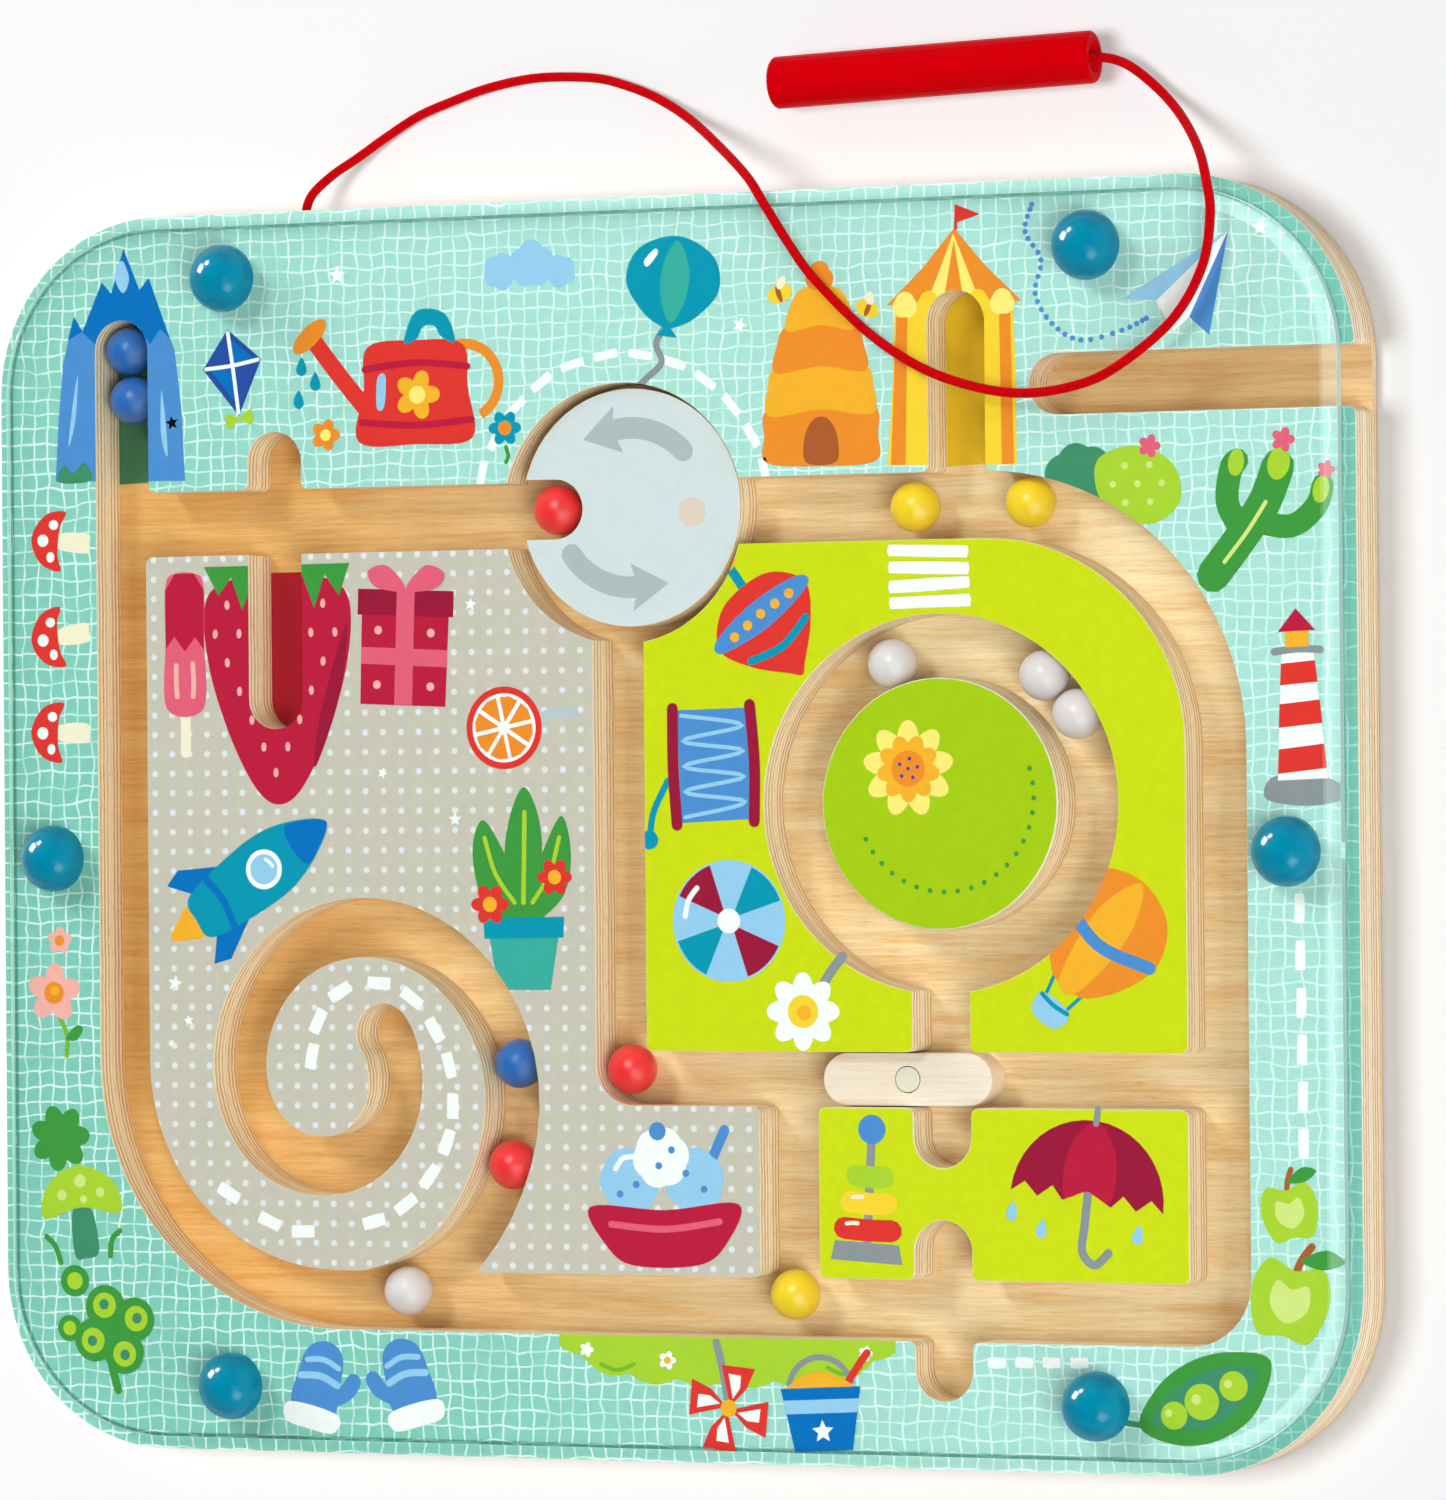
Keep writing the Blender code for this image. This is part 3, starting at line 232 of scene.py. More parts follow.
def buildPrintMottle():
    inputs = {"Ink": tone(200, 200, 200), "Amount": 0.10, "Roughness": 0.5}
    outputs = {"Color": "Color", "Roughness": "Float", "Height": "Float"}
    group, given, out = newGroup("Print Mottle", inputs, outputs)
    cloudWeight, speckWeight, brighter, rougher = 0.6, 0.4, 3.0, 2.0
    point = objectPoint(group)
    clouds = noise(group, point, scale=420.0, detail=4.0, roughness=0.6)
    specks = noise(group, point, scale=2600.0, detail=2.0)
    both = maths(group, "MULTIPLY_ADD", clouds, cloudWeight, maths(group, "MULTIPLY", specks, speckWeight))
    shift = maths(group, "MULTIPLY", maths(group, "SUBTRACT", both, 0.5), given["Amount"])
    value = maths(group, "MULTIPLY_ADD", shift, brighter, 1.0)
    feed(out, {
        "Color": place(group, "HueSaturation", {"Value": value, "Color": given["Ink"]}).outputs[0],
        "Roughness": maths(group, "MULTIPLY_ADD", shift, rougher, given["Roughness"]),
        "Height": specks,
    })
    return group


def buildWobblyGrid():
    inputs = {"Pitch": 0.0034, "Width": 0.00040, "Wobble": 0.0034}
    group, given, out = newGroup("Wobbly Grid", inputs, {"Mask": "Float"})
    crisp, faded = 0.30, 0.75
    point = objectPoint(group)
    drift = noise(group, point, scale=105.0, detail=2.0, output="Color")
    centred = vectors(group, "SUBTRACT", drift, (0.5, 0.5, 0.5))
    moved = place(group, "VectorMath", {0: centred, 3: given["Wobble"]}, operation="SCALE").outputs[0]
    bent = axes(group, vectors(group, "ADD", point, moved))
    half = maths(group, "MULTIPLY", given["Pitch"], 0.5)
    near = maths(group, "MULTIPLY", given["Width"], crisp)
    far = maths(group, "MULTIPLY", given["Width"], faded)
    lines = [ramped(group, maths(group, "PINGPONG", bent[key], half), near, far, 1.0, 0.0) for key in "XY"]
    weight = noise(group, point, scale=160.0)
    strength = ramped(group, weight, low=0.30, high=0.60, toLow=0.45)
    feed(out, {"Mask": maths(group, "MULTIPLY", maths(group, "MAXIMUM", *lines), strength)})
    return group


def buildRoundDots():
    inputs = {"Pitch": 0.0044, "Radius": 0.00074, "Fade": 0.3}
    group, given, out = newGroup("Round Dots", inputs, {"Mask": "Float"})
    solid, faded = 0.7, 1.25
    point = objectPoint(group)
    along = axes(group, point)
    half = maths(group, "MULTIPLY", given["Pitch"], 0.5)
    squares = [maths(group, "POWER", maths(group, "PINGPONG", along[key], half), 2.0) for key in "XY"]
    distance = maths(group, "SQRT", maths(group, "ADD", *squares))
    inner = maths(group, "MULTIPLY", given["Radius"], solid)
    outer = maths(group, "MULTIPLY", given["Radius"], faded)
    patches = noise(group, point, scale=500.0, detail=2.0)
    fade = maths(group, "SUBTRACT", 1.0, maths(group, "MULTIPLY", patches, given["Fade"]))
    feed(out, {"Mask": maths(group, "MULTIPLY", ramped(group, distance, inner, outer, 1.0, 0.0), fade)})
    return group


def buildFineScratches():
    inputs = {"Scale": 1.0, "Amount": 0.1, "Base": 0.3}
    outputs = {"Mask": "Float", "Roughness": "Float", "Height": "Float"}
    group, given, out = newGroup("Fine Scratches", inputs, outputs)
    hazeHeight, scratchDepth = 0.6, -0.4
    point = objectPoint(group)
    lines = []
    for angle, run in ((0.5, (90.0, 2400.0, 700.0)), (-0.9, (110.0, 2000.0, 600.0))):
        turned = place(group, "VectorRotate", {"Vector": point, "Angle": angle}, rotation_type="Z_AXIS").outputs[0]
        streaks = noise(group, vectors(group, "MULTIPLY", turned, run), given["Scale"])
        lines.append(ramped(group, streaks, low=0.60, high=0.78))
    scratch = maths(group, "MAXIMUM", *lines)
    haze = noise(group, point, scale=300.0, detail=4.0, roughness=0.6)
    change = maths(group, "ADD", scratch, maths(group, "SUBTRACT", haze, 0.5))
    feed(out, {
        "Mask": scratch,
        "Roughness": maths(group, "MULTIPLY_ADD", change, given["Amount"], given["Base"]),
        "Height": maths(group, "MULTIPLY_ADD", haze, hazeHeight, maths(group, "MULTIPLY", scratch, scratchDepth)),
    })
    return group


woodGrain = buildWoodGrain()
plywoodEdge = buildPlywoodEdge()
rimDistance = buildRimDistance()
printMottle = buildPrintMottle()
wobblyGrid = buildWobblyGrid()
roundDots = buildRoundDots()
fineScratches = buildFineScratches()


def newFinish(name, roughness, shine=0.5, metallic=0.0):
    material = bpy.data.materials.new(name)
    material.use_nodes = True
    shader = material.node_tree.nodes["Principled BSDF"]
    feed(shader, {"Roughness": roughness, "Specular IOR Level": shine, "Metallic": metallic})
    return material, material.node_tree, shader


def dress(shader, colour, roughness, height, bump, depth=0.0002):
    normal = place(shader.id_data, "Bump", {"Strength": bump, "Distance": depth, "Height": height}).outputs[0]
    feed(shader, {"Base Color": colour, "Roughness": roughness, "Normal": normal})


def mottledPaint(name, paint, look):
    material, tree, shader = newFinish(name, look["roughness"], look["shine"])
    inputs = {"Ink": paint, "Amount": look["mottle"], "Roughness": look["roughness"]}
    mottle = useGroup(tree, printMottle, inputs)
    dress(shader, mottle["Color"], mottle["Roughness"], mottle["Height"], look["bump"])
    return material


def rightRim(tree):  # the distance from the board's edge, and a share that grows towards the right
    return useGroup(tree, rimDistance)["Distance"], ramped(tree, axes(tree)["X"], low=0.105, high=0.14)


def wear(name, material):
    nodes[name].data.materials.clear()
    nodes[name].data.materials.append(material)


def smooth(name, angle=None):
    data = nodes[name].data
    custom = data.attributes.get("custom_normal")
    if custom:
        data.attributes.remove(custom)
    data.shade_smooth()
    if angle:
        data.set_sharp_from_angle(angle=math.radians(angle))


edgeLook = {"merge": 2e-6, "angle": 50, "weight": 80}


def join(piece):  # joins corners that lie on one spot
    piece.modifiers.new("join", "WELD").merge_threshold = edgeLook["merge"]


def soften(name, width, segments=1):  # joins split corners, then rounds the edges
    smooth(name)
    join(nodes[name])
    bevel = nodes[name].modifiers.new("edges", "BEVEL")
    bevel.width = width
    bevel.segments = segments
    bevel.limit_method = "ANGLE"
    bevel.angle_limit = math.radians(edgeLook["angle"])
    weighted = nodes[name].modifiers.new("normals", "WEIGHTED_NORMAL")
    weighted.weight = edgeLook["weight"]
    weighted.keep_sharp = False


# Printed plywood of the frame and the islands
printLook = {
    "maze_frame": {
        "ink": tone(132, 204, 186), "net": tone(228, 252, 245), "netShare": 0.95,
        # the paler tone and the slant pale the ground towards the top right, a painted reflection on the cover
        "paintedReflectionTone": tone(172, 224, 212), "slant": (1.0, 0.5, 0.0), "slantSpan": (-0.15, 0.04),
        # shade is a painted shadow of the cover's edge on the print beyond it at the right, and line is a thin
        # painted shadow along the cover's edge
        "shade": tone(176, 216, 208), "shadeSpan": (-0.0004, 0.0004),
        "line": tone(150, 186, 178), "shadowLineInside": 0.0003, "shadowLineSpan": (0.0002, 0.0007),
    },
    "grey_island": {"ink": tone(204, 196, 181), "dots": tone(236, 240, 248), "dotShare": 0.9},
    "upper_green_island": {"ink": tone(208, 220, 20)},
    "lower_green_island": {"ink": tone(209, 222, 22)},
    "green_hub": {"ink": tone(168, 202, 18)},
}
printFinish = {
    "roughness": 0.5, "shine": 0.12, "mottle": 0.10, "topRoughness": -0.08, "bump": 0.35,
    "chamfer": tone(252, 244, 226), "bevel": 0.0004,
}


def reflectionPaledInk(tree, look):  # the ground colour pales towards the right and the top: a painted reflection of the room on the clear cover
    slant = vectors(tree, "DOT_PRODUCT", objectPoint(tree), look["slant"], output="Value")
    return blended(tree, ramped(tree, slant, *look["slantSpan"]), look["ink"], look["paintedReflectionTone"])


def netPrint(tree, look, colour):  # the pale net, then painted shadow: darker outside the cover's right edge, and a thin painted shadow line just inside the cover's edge
    mask = maths(tree, "MULTIPLY", useGroup(tree, wobblyGrid)["Mask"], look["netShare"])
    netted = blended(tree, mask, colour, look["net"])
    distance, rightwards = rightRim(tree)
    share = maths(tree, "MULTIPLY", ramped(tree, distance, *look["shadeSpan"]), rightwards)
    shaded = blended(tree, share, netted, look["shade"], "MULTIPLY")
    # the thin painted shadow line along the cover's edge
    away = maths(tree, "ABSOLUTE", maths(tree, "ADD", distance, look["shadowLineInside"]))
    return blended(tree, ramped(tree, away, *look["shadowLineSpan"], 1.0, 0.0), shaded, look["line"], "MULTIPLY")


def printedPly(name, look, finish):
    material, tree, shader = newFinish(name, finish["roughness"], finish["shine"])
    ink = reflectionPaledInk(tree, look) if "paintedReflectionTone" in look else look["ink"]
    inputs = {"Ink": ink, "Amount": finish["mottle"], "Roughness": finish["roughness"]}
    mottle = useGroup(tree, printMottle, inputs)
    colour = mottle["Color"]
    if "net" in look:
        colour = netPrint(tree, look, colour)
    if "dots" in look:
        mask = maths(tree, "MULTIPLY", useGroup(tree, roundDots)["Mask"], look["dotShare"])
        colour = blended(tree, mask, colour, look["dots"])
    edge = useGroup(tree, plywoodEdge)
    top = facesUp(tree)
    sides = blended(tree, facesUp(tree, 0.4), edge["Color"], finish["chamfer"])
    roughness = maths(tree, "MULTIPLY_ADD", top, finish["topRoughness"], mottle["Roughness"])
    dress(shader, blended(tree, top, sides, colour), roughness, edge["Height"], finish["bump"])
    return material


for name, look in printLook.items():
    wear(name, printedPly(name + "Finish", look, printFinish))
    soften(name, printFinish["bevel"])
print("printed plywood done")


# Base plate: bare floor wood on top, plies at the sides
floorLook = {
    "grain": {
        "Pale": tone(255, 236, 194), "Dark": tone(232, 183, 117), "Run": (75.0, 1500.0, 500.0), "Patches": 0.9,
    },
    "edge": {"Bottom": 0.0, "Ply": 0.0007},
    "golden": tone(244, 198, 114), "goldenShare": 0.75, "goldenSpan": (-0.14, 0.06),
    # slot darkens the floor of the wand slot at the top right: painted shade in that recess
    "slot": tone(232, 216, 196), "slotShadeAcross": (0.07, 0.1), "slotShadeAlong": (0.076, 0.084),
    "roughness": 0.55, "shine": 0.2, "bump": 0.3, "bevel": 0.0002,
}


def floorWood(look):
    material, tree, shader = newFinish("floorWood", look["roughness"], look["shine"])
    grain = useGroup(tree, woodGrain, look["grain"])
    edge = useGroup(tree, plywoodEdge, look["edge"])
    along = axes(tree)
    golden = ramped(tree, along["X"], *look["goldenSpan"], look["goldenShare"], 0.0)
    slotShadeAcross = ramped(tree, along["X"], *look["slotShadeAcross"])
    slotShadeAlong = ramped(tree, along["Y"], *look["slotShadeAlong"])
    veneer = blended(tree, golden, grain["Color"], look["golden"], "MULTIPLY")
    # painted shade over the wand slot's floor
    veneer = blended(tree, maths(tree, "MULTIPLY", slotShadeAcross, slotShadeAlong), veneer, look["slot"], "MULTIPLY")
    roughness = ramped(tree, grain["Height"], low=0.3, high=0.7, toLow=0.62, toHigh=0.48)
    colour = blended(tree, facesSideways(tree), veneer, edge["Color"])
    dress(shader, colour, roughness, grain["Height"], look["bump"])
    return material


wear("base_plate", floorWood(floorLook))
soften("base_plate", floorLook["bevel"])


# The painted turntable, the bare gate bar, and the painted plugs in both
turntableLook = {
    "shine": 0.25, "paint": tone(215, 223, 224), "scratch": tone(196, 212, 216), "rim": tone(244, 236, 218),
    "mottle": 0.02, "roughness": 0.45, "scratches": {"Scale": 0.7, "Amount": 0.015, "Base": 0.42},
    "scratchShare": 0.6, "ply": 0.0009, "bump": 0.008, "bevel": 0.0005,
}
gateLook = {
    "grain": {
        "Pale": tone(255, 240, 223), "Dark": tone(240, 214, 190), "Run": (60.0, 1500.0, 800.0), "Patches": 0.2,
    },
    "roughness": 0.5, "bump": 0.25, "bevel": 0.0006,
}
plugLook = {
    "turntable_plug": tone(232, 214, 192), "gate_plug": tone(236, 228, 208),
    "finish": {"roughness": 0.5, "shine": 0.5, "mottle": 0.07, "bump": 0.2}, "bevel": 0.0001,
}


def turntablePaint(look):
    material, tree, shader = newFinish("turntablePaint", look["roughness"], look["shine"])
    inputs = {"Ink": look["paint"], "Amount": look["mottle"], "Roughness": look["roughness"]}
    mottle = useGroup(tree, printMottle, inputs)
    scratches = useGroup(tree, fineScratches, look["scratches"])
    share = maths(tree, "MULTIPLY", scratches["Mask"], look["scratchShare"])
    painted = blended(tree, share, mottle["Color"], look["scratch"])
    edge = useGroup(tree, plywoodEdge, {"Ply": look["ply"]})
    rimmed = blended(tree, facesUp(tree, 0.5), edge["Color"], look["rim"])
    colour = blended(tree, facesUp(tree, 0.985), rimmed, painted)
    dress(shader, colour, scratches["Roughness"], scratches["Height"], look["bump"])
    return material


def gateWood(look):
    material, tree, shader = newFinish("gateWood", look["roughness"])
    grain = useGroup(tree, woodGrain, look["grain"])
    roughness = ramped(tree, grain["Height"], low=0.3, high=0.7, toLow=0.56, toHigh=0.44)
    dress(shader, grain["Color"], roughness, grain["Height"], look["bump"])
    return material


wear("turntable", turntablePaint(turntableLook))
soften("turntable", turntableLook["bevel"], 2)
wear("gate_bar", gateWood(gateLook))
soften("gate_bar", gateLook["bevel"], 2)
for name in ("turntable_plug", "gate_plug"):
    wear(name, mottledPaint(name + "Paint", plugLook[name], plugLook["finish"]))
    soften(name, plugLook["bevel"], 2)
print("turntable and gate done")


# Clear cover sheet
coverLook = {
    "tint": tone(250, 255, 254), "roughness": 0.03, "ior": 1.45, "mottle": 0.004, "bevel": 0.0004,
    "scratches": {"Scale": 0.5, "Amount": 0.02, "Base": 0.03},
    # rim and strip are painted light: the sawn faces glow as a painted reflection of the edge, and a narrow strip
    # of the top face inside the right edge glows as a painted highlight
    "rim": tone(136, 164, 156), "strip": tone(80, 90, 87), "glowStripWidth": 0.0038, "glowStripBlur": 0.0002,
    "soaked": 0.6, "clear": (0.97, 0.985, 0.98, 1.0),
}


def clearSheet(look):
    material, tree, shader = newFinish("clearSheet", look["roughness"])
    scratches = useGroup(tree, fineScratches, look["scratches"])
    inputs = {"Ink": look["tint"], "Amount": look["mottle"], "Roughness": look["roughness"]}
    sawn = facesSideways(tree)
    distance, rightwards = rightRim(tree)
    strip = ramped(tree, distance, -look["glowStripWidth"] - look["glowStripBlur"], -look["glowStripWidth"])
    onTop = maths(tree, "MULTIPLY", rightwards, facesUp(tree, 0.5))
    # painted highlight: a glow on the top face just inside the right edge
    paintedStripGlow = blended(tree, maths(tree, "MULTIPLY", strip, onTop), (0, 0, 0, 1), look["strip"])
    # the emission is painted light on the sawn faces and the right-edge strip
    feed(shader, {
        "Transmission Weight": 1.0, "IOR": look["ior"], "Roughness": scratches["Roughness"],
        "Base Color": useGroup(tree, printMottle, inputs)["Color"],
        "Emission Color": blended(tree, sawn, paintedStripGlow, look["rim"]), "Emission Strength": 1.0,
    })
    rays = place(tree, "LightPath").outputs
    soft = maths(tree, "MAXIMUM", rays["Is Shadow Ray"], rays["Is Diffuse Ray"])
    passed = maths(tree, "SUBTRACT", 1.0, maths(tree, "MULTIPLY", sawn, look["soaked"]))
    through = maths(tree, "MULTIPLY", soft, passed)
    clear = place(tree, "BsdfTransparent", {"Color": look["clear"]}).outputs[0]
    mix = place(tree, "MixShader", {0: through, 1: shader.outputs[0], 2: clear}).outputs[0]
    feed(tree.nodes["Material Output"], {"Surface": mix})
    return material


wear("cover_sheet", clearSheet(coverLook))
soften("cover_sheet", coverLook["bevel"], 2)


# Caps, screws, balls, wand and magnet
capLook = {
    "paint": tone(0, 134, 164), "dark": tone(0, 104, 138), "roughness": 0.14, "shine": 0.2,
    "sides": 72, "steps": 18, "sharp": 40, "foot": 0.0004, "screwHole": 0.00175, "holeDepth": 0.0053,
}
ballLook = {
    "blue_ball": ("blue_paint", tone(24, 92, 165)),
    "red_ball": ("red_paint", tone(226, 34, 38)),
    "yellow_ball": ("yellow_paint", tone(230, 194, 10)),
    "silver_ball": ("silver_paint", tone(207, 198, 199)),
}
ballFinish = {"roughness": 0.33, "shine": 1.0, "mottle": 0.06, "bump": 0.1}
wandLook = {"paint": tone(201, 0, 10), "dark": tone(190, 0, 6), "roughness": 0.32, "shine": 0.02, "sharp": 40}
glossFinish = {"scratches": {"Scale": 0.8, "Amount": 0.05}, "scratchShare": 0.35, "cloudScale": 240.0, "bump": 0.1}
metalFinish = {"scratches": {"Scale": 1.4, "Amount": 0.15}, "bump": 0.15}
magnetLook = {"pale": tone(205, 203, 198), "dark": tone(150, 148, 142), "roughness": 0.3}
screwLook = {"pale": tone(200, 200, 196), "dark": tone(150, 150, 148), "roughness": 0.35, "sharp": 35}


def glossPaint(name, look):
    material, tree, shader = newFinish(name, look["roughness"], look["shine"])
    scratches = useGroup(tree, fineScratches, {**glossFinish["scratches"], "Base": look["roughness"]})
    clouds = noise(tree, objectPoint(tree), glossFinish["cloudScale"])
    cloudy = ramped(tree, clouds, low=0.35, high=0.75, toHigh=0.5)
    share = maths(tree, "MULTIPLY_ADD", scratches["Mask"], glossFinish["scratchShare"], cloudy)
    colour = blended(tree, share, look["paint"], look["dark"])
    dress(shader, colour, scratches["Roughness"], scratches["Height"], glossFinish["bump"])
    return material


def brushedMetal(name, look):
    material, tree, shader = newFinish(name, look["roughness"], metallic=1.0)
    scratches = useGroup(tree, fineScratches, {**metalFinish["scratches"], "Base": look["roughness"]})
    colour = blended(tree, scratches["Mask"], look["pale"], look["dark"])
    dress(shader, colour, scratches["Roughness"], scratches["Height"], metalFinish["bump"])
    return material


def meshOf(name, shape):
    mesh = bpy.data.meshes.new(name)
    shape.to_mesh(mesh)
    shape.free()
    return mesh


def turnedMesh(name, profile, sides, sharp):  # (radius, height) points from axis to axis, turned about Z
    shape = bmesh.new()
    rings = []
    for radius, height in profile:
        count = 1 if radius == 0 else sides
        turns = [2 * math.pi * k / sides for k in range(count)]
        rings.append([shape.verts.new((radius * math.cos(t), radius * math.sin(t), height)) for t in turns])
    for lower, upper in zip(rings, rings[1:]):
        for here in range(sides):
            ahead = (here + 1) % sides
            around = [lower[k % len(lower)] for k in (here, ahead)]
            around += [upper[k % len(upper)] for k in (ahead, here)]
            corners = list(dict.fromkeys(around))
            if len(corners) > 2:
                shape.faces.new(corners)
    bmesh.ops.recalc_face_normals(shape, faces=shape.faces)
    mesh = meshOf(name, shape)
    mesh.shade_smooth()
    mesh.set_sharp_from_angle(angle=math.radians(sharp))
    return mesh


def addPiece(name, data, body, material=None, spot=(0, 0, 0)):
    piece = bpy.data.objects.new(name, data)
    if material:
        data.materials.append(material)
    piece.location = spot
    bpy.context.collection.objects.link(piece)
    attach(piece, body)
    return piece


def middle(name):
    low, high = (Vector(corner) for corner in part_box(name))
    return (low + high) / 2, high - low


def addCaps(look):
    paint = glossPaint("capPaint", look)
    foot, hole, depth = look["foot"], look["screwHole"], look["holeDepth"]
    for number in range(1, 7):
        name = f"cap_{number}"
        centre, size = middle(name)
        radius, tall = size.x / 2, size.z
        profile = [(0, depth), (hole, depth), (hole, 0), (radius - foot, 0)]
        for turn in (math.radians(90 * step / look["steps"]) for step in range(look["steps"])):
            profile.append((radius * math.cos(turn), foot + (tall - foot) * math.sin(turn)))
        mesh = turnedMesh(name + "Dome", profile + [(0, tall)], look["sides"], look["sharp"])
        spot = (centre.x, centre.y, centre.z - tall / 2)
        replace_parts(addPiece(name + "Dome", mesh, "board", paint, spot), name)


def addBalls(looks, finish):
    for family, (slot, paint) in looks.items():
        material = mottledPaint(family + "Paint", paint, finish)
        for name in sorted(body for body in frame["bodies"] if body.startswith(family)):
            centre, size = middle(name)
            shape = bmesh.new()
            bmesh.ops.create_icosphere(shape, subdivisions=4, radius=max(size) / 2)
            mesh = meshOf(name + "Round", shape)
            mesh.shade_smooth()
            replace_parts(addPiece(name + "Round", mesh, name, material, centre), name)


addCaps(capLook)
addBalls(ballLook, ballFinish)
wear("wand", glossPaint("wandPaint", wandLook))
smooth("wand", wandLook["sharp"])
wear("wand_magnet", brushedMetal("magnetSteel", magnetLook))
screwFinish = brushedMetal("screwZinc", screwLook)
for number in range(1, 7):
    wear(f"cap_screw_{number}", screwFinish)
    smooth(f"cap_screw_{number}", screwLook["sharp"])
print("caps, balls and wand done")


# Cord, from the hole in the board's top edge to the wand
cordLook = {
    "diameter": 0.0021, "length": 0.3477,
    "hole": (-0.08751, 0.1315, 0.0091), "mouth": (-0.08751, 0.13845, 0.0091),
    "wandEnd": (0.10099, 0.16630, 0.0058), "wandBore": (0.098995, 0.166237, 0.0058),
    "halfBoard": (0.1625, 0.1395), "onTable": 0.00108, "rise": 0.01835, "samples": 8, "rounding": 6,
    "paint": tone(201, 0, 10), "dark": tone(150, 0, 8), "roughness": 0.55, "shine": 0.08, "bump": 0.5,
}
cordRoute = (  # shares of half the board's width and height, and of the rise from table to sheet
    (-0.5305, 1.0265, 0.415), (-0.5077, 1.0595, 0.258), (-0.4763, 1.0882, 0.106),
    (-0.4351, 1.1219, 0.014), (-0.3865, 1.1534, 0.000), (-0.3378, 1.1735, 0.000),
    (-0.2886, 1.1907, 0.000), (-0.2400, 1.2014, 0.000), (-0.1914, 1.2057, 0.000),
    (-0.1194, 1.2007, 0.000), (-0.0714, 1.1857, 0.000), (-0.0228, 1.1620, 0.025),
    (0.0283, 1.1269, 0.160), (0.0862, 1.0789, 0.485), (0.1465, 1.0229, 0.866),
    (0.1785, 0.9763, 1.012), (0.2135, 0.9125, 1.003), (0.2505, 0.8552, 0.998),
    (0.3237, 0.7728, 0.998), (0.3963, 0.7161, 0.998), (0.4689, 0.6832, 0.998),
    (0.5415, 0.6681, 0.998), (0.6135, 0.6753, 0.998), (0.6757, 0.7018, 0.998),
    (0.7557, 0.7713, 0.998), (0.7994, 0.8523, 0.998), (0.8117, 0.9319, 1.003),
    (0.8068, 0.9842, 1.003), (0.7871, 1.0344, 0.758), (0.7520, 1.0860, 0.390),
    (0.7151, 1.1297, 0.160), (0.6769, 1.1685, 0.148), (0.6511, 1.1857, 0.220),
)


def throughPoints(points, samples, closed=False):  # a smooth line through points
    count = len(points)
    line = []
    for k in range(count if closed else count - 1):
        near = [k + step if not closed else (k + step) % count for step in (-1, 0, 1, 2)]
        before, here, ahead, beyond = (points[min(max(spot, 0), count - 1)] for spot in near)
        for part in (step / samples for step in range(samples)):
            line.append(0.5 * (
                2 * here + (ahead - before) * part
                + (2 * before - 5 * here + 4 * ahead - beyond) * part**2
                + (3 * here - before - 3 * ahead + beyond) * part**3
            ))
    return line if closed else line + [points[-1]]


def cordBraid(look):
    material, tree, shader = newFinish("cordBraid", look["roughness"], look["shine"])
    strands = noise(tree, objectPoint(tree), scale=1700.0, detail=2.0)
    share = ramped(tree, strands, low=0.44, high=0.66, toHigh=0.6)
    roughness = ramped(tree, strands, low=0.3, high=0.7, toLow=0.62, toHigh=0.46)
    dress(shader, blended(tree, share, look["paint"], look["dark"]), roughness, strands, look["bump"])
    return material


def addCord(look, route):
    wide, tall = look["halfBoard"]
    points = [Vector(look["hole"]), Vector(look["mouth"])]
    points += [Vector((wide * a, tall * b, look["onTable"] + look["rise"] * c)) for a, b, c in route]
    points += [Vector(look["wandEnd"]), Vector(look["wandBore"])]
    line = throughPoints(points, look["samples"])
    curve = bpy.data.curves.new("cordLine", "CURVE")
    curve.dimensions = "3D"
    curve.bevel_depth = look["diameter"] / 2
    curve.bevel_resolution = look["rounding"]
    curve.use_fill_caps = True
    spline = curve.splines.new("POLY")
    spline.points.add(len(line) - 1)
    for target, point in zip(spline.points, line):
        target.co = (*point, 1)
    spline.use_smooth = True
    cord = addPiece("cordLine", curve, "board", cordBraid(look))
    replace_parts(cord, "cord")


addCord(cordLook, cordRoute)
print("cord done")


# Inks of the printed motifs
inkTones = {
    "white": (250, 250, 247), "cream": (248, 238, 208), "grey": (142, 148, 152), "paleGrey": (192, 198, 200),
    "skyBlue": (78, 142, 208), "deepBlue": (0, 112, 190), "navy": (38, 78, 160), "paleBlue": (152, 203, 236),
    "teal": (0, 150, 178), "sea": (58, 172, 158), "leaf": (64, 152, 62), "forest": (64, 142, 104),
    "grass": (120, 184, 44), "lime": (172, 210, 52), "paleLime": (212, 230, 130),
    "red": (228, 54, 46), "orange": (243, 142, 42), "amber": (250, 178, 44), "yellow": (253, 212, 52),
    "brown": (176, 92, 44), "crimson": (192, 28, 62), "berry": (158, 22, 58), "rose": (232, 96, 122),
    "blush": (250, 178, 168), "lemon": (254, 234, 120), "arrowGrey": (176, 186, 188), "peach": (227, 206, 190),
    "floorGreen": (70, 124, 88), "floorYellow": (236, 196, 40), "floorRed": (190, 32, 52),
}
inkFinish = {"roughness": 0.48, "shine": 0.12, "mottle": 0.09, "bump": 0.15}
inks = {}


def inkOf(name):
    if name not in inks:
        inks[name] = mottledPaint(name + "Ink", tone(*inkTones[name]), inkFinish)
    return inks[name]


# Outlines of the motifs, in millimetres
def spin(angle, radius):
    turn = math.radians(angle)
    return Vector((radius * math.cos(turn), radius * math.sin(turn)))


def moved(points, to, turn=0.0, size=1.0):
    across, up = size * spin(turn, 1), size * spin(turn + 90, 1)
    return [Vector(to) + across * point[0] + up * point[1] for point in points]


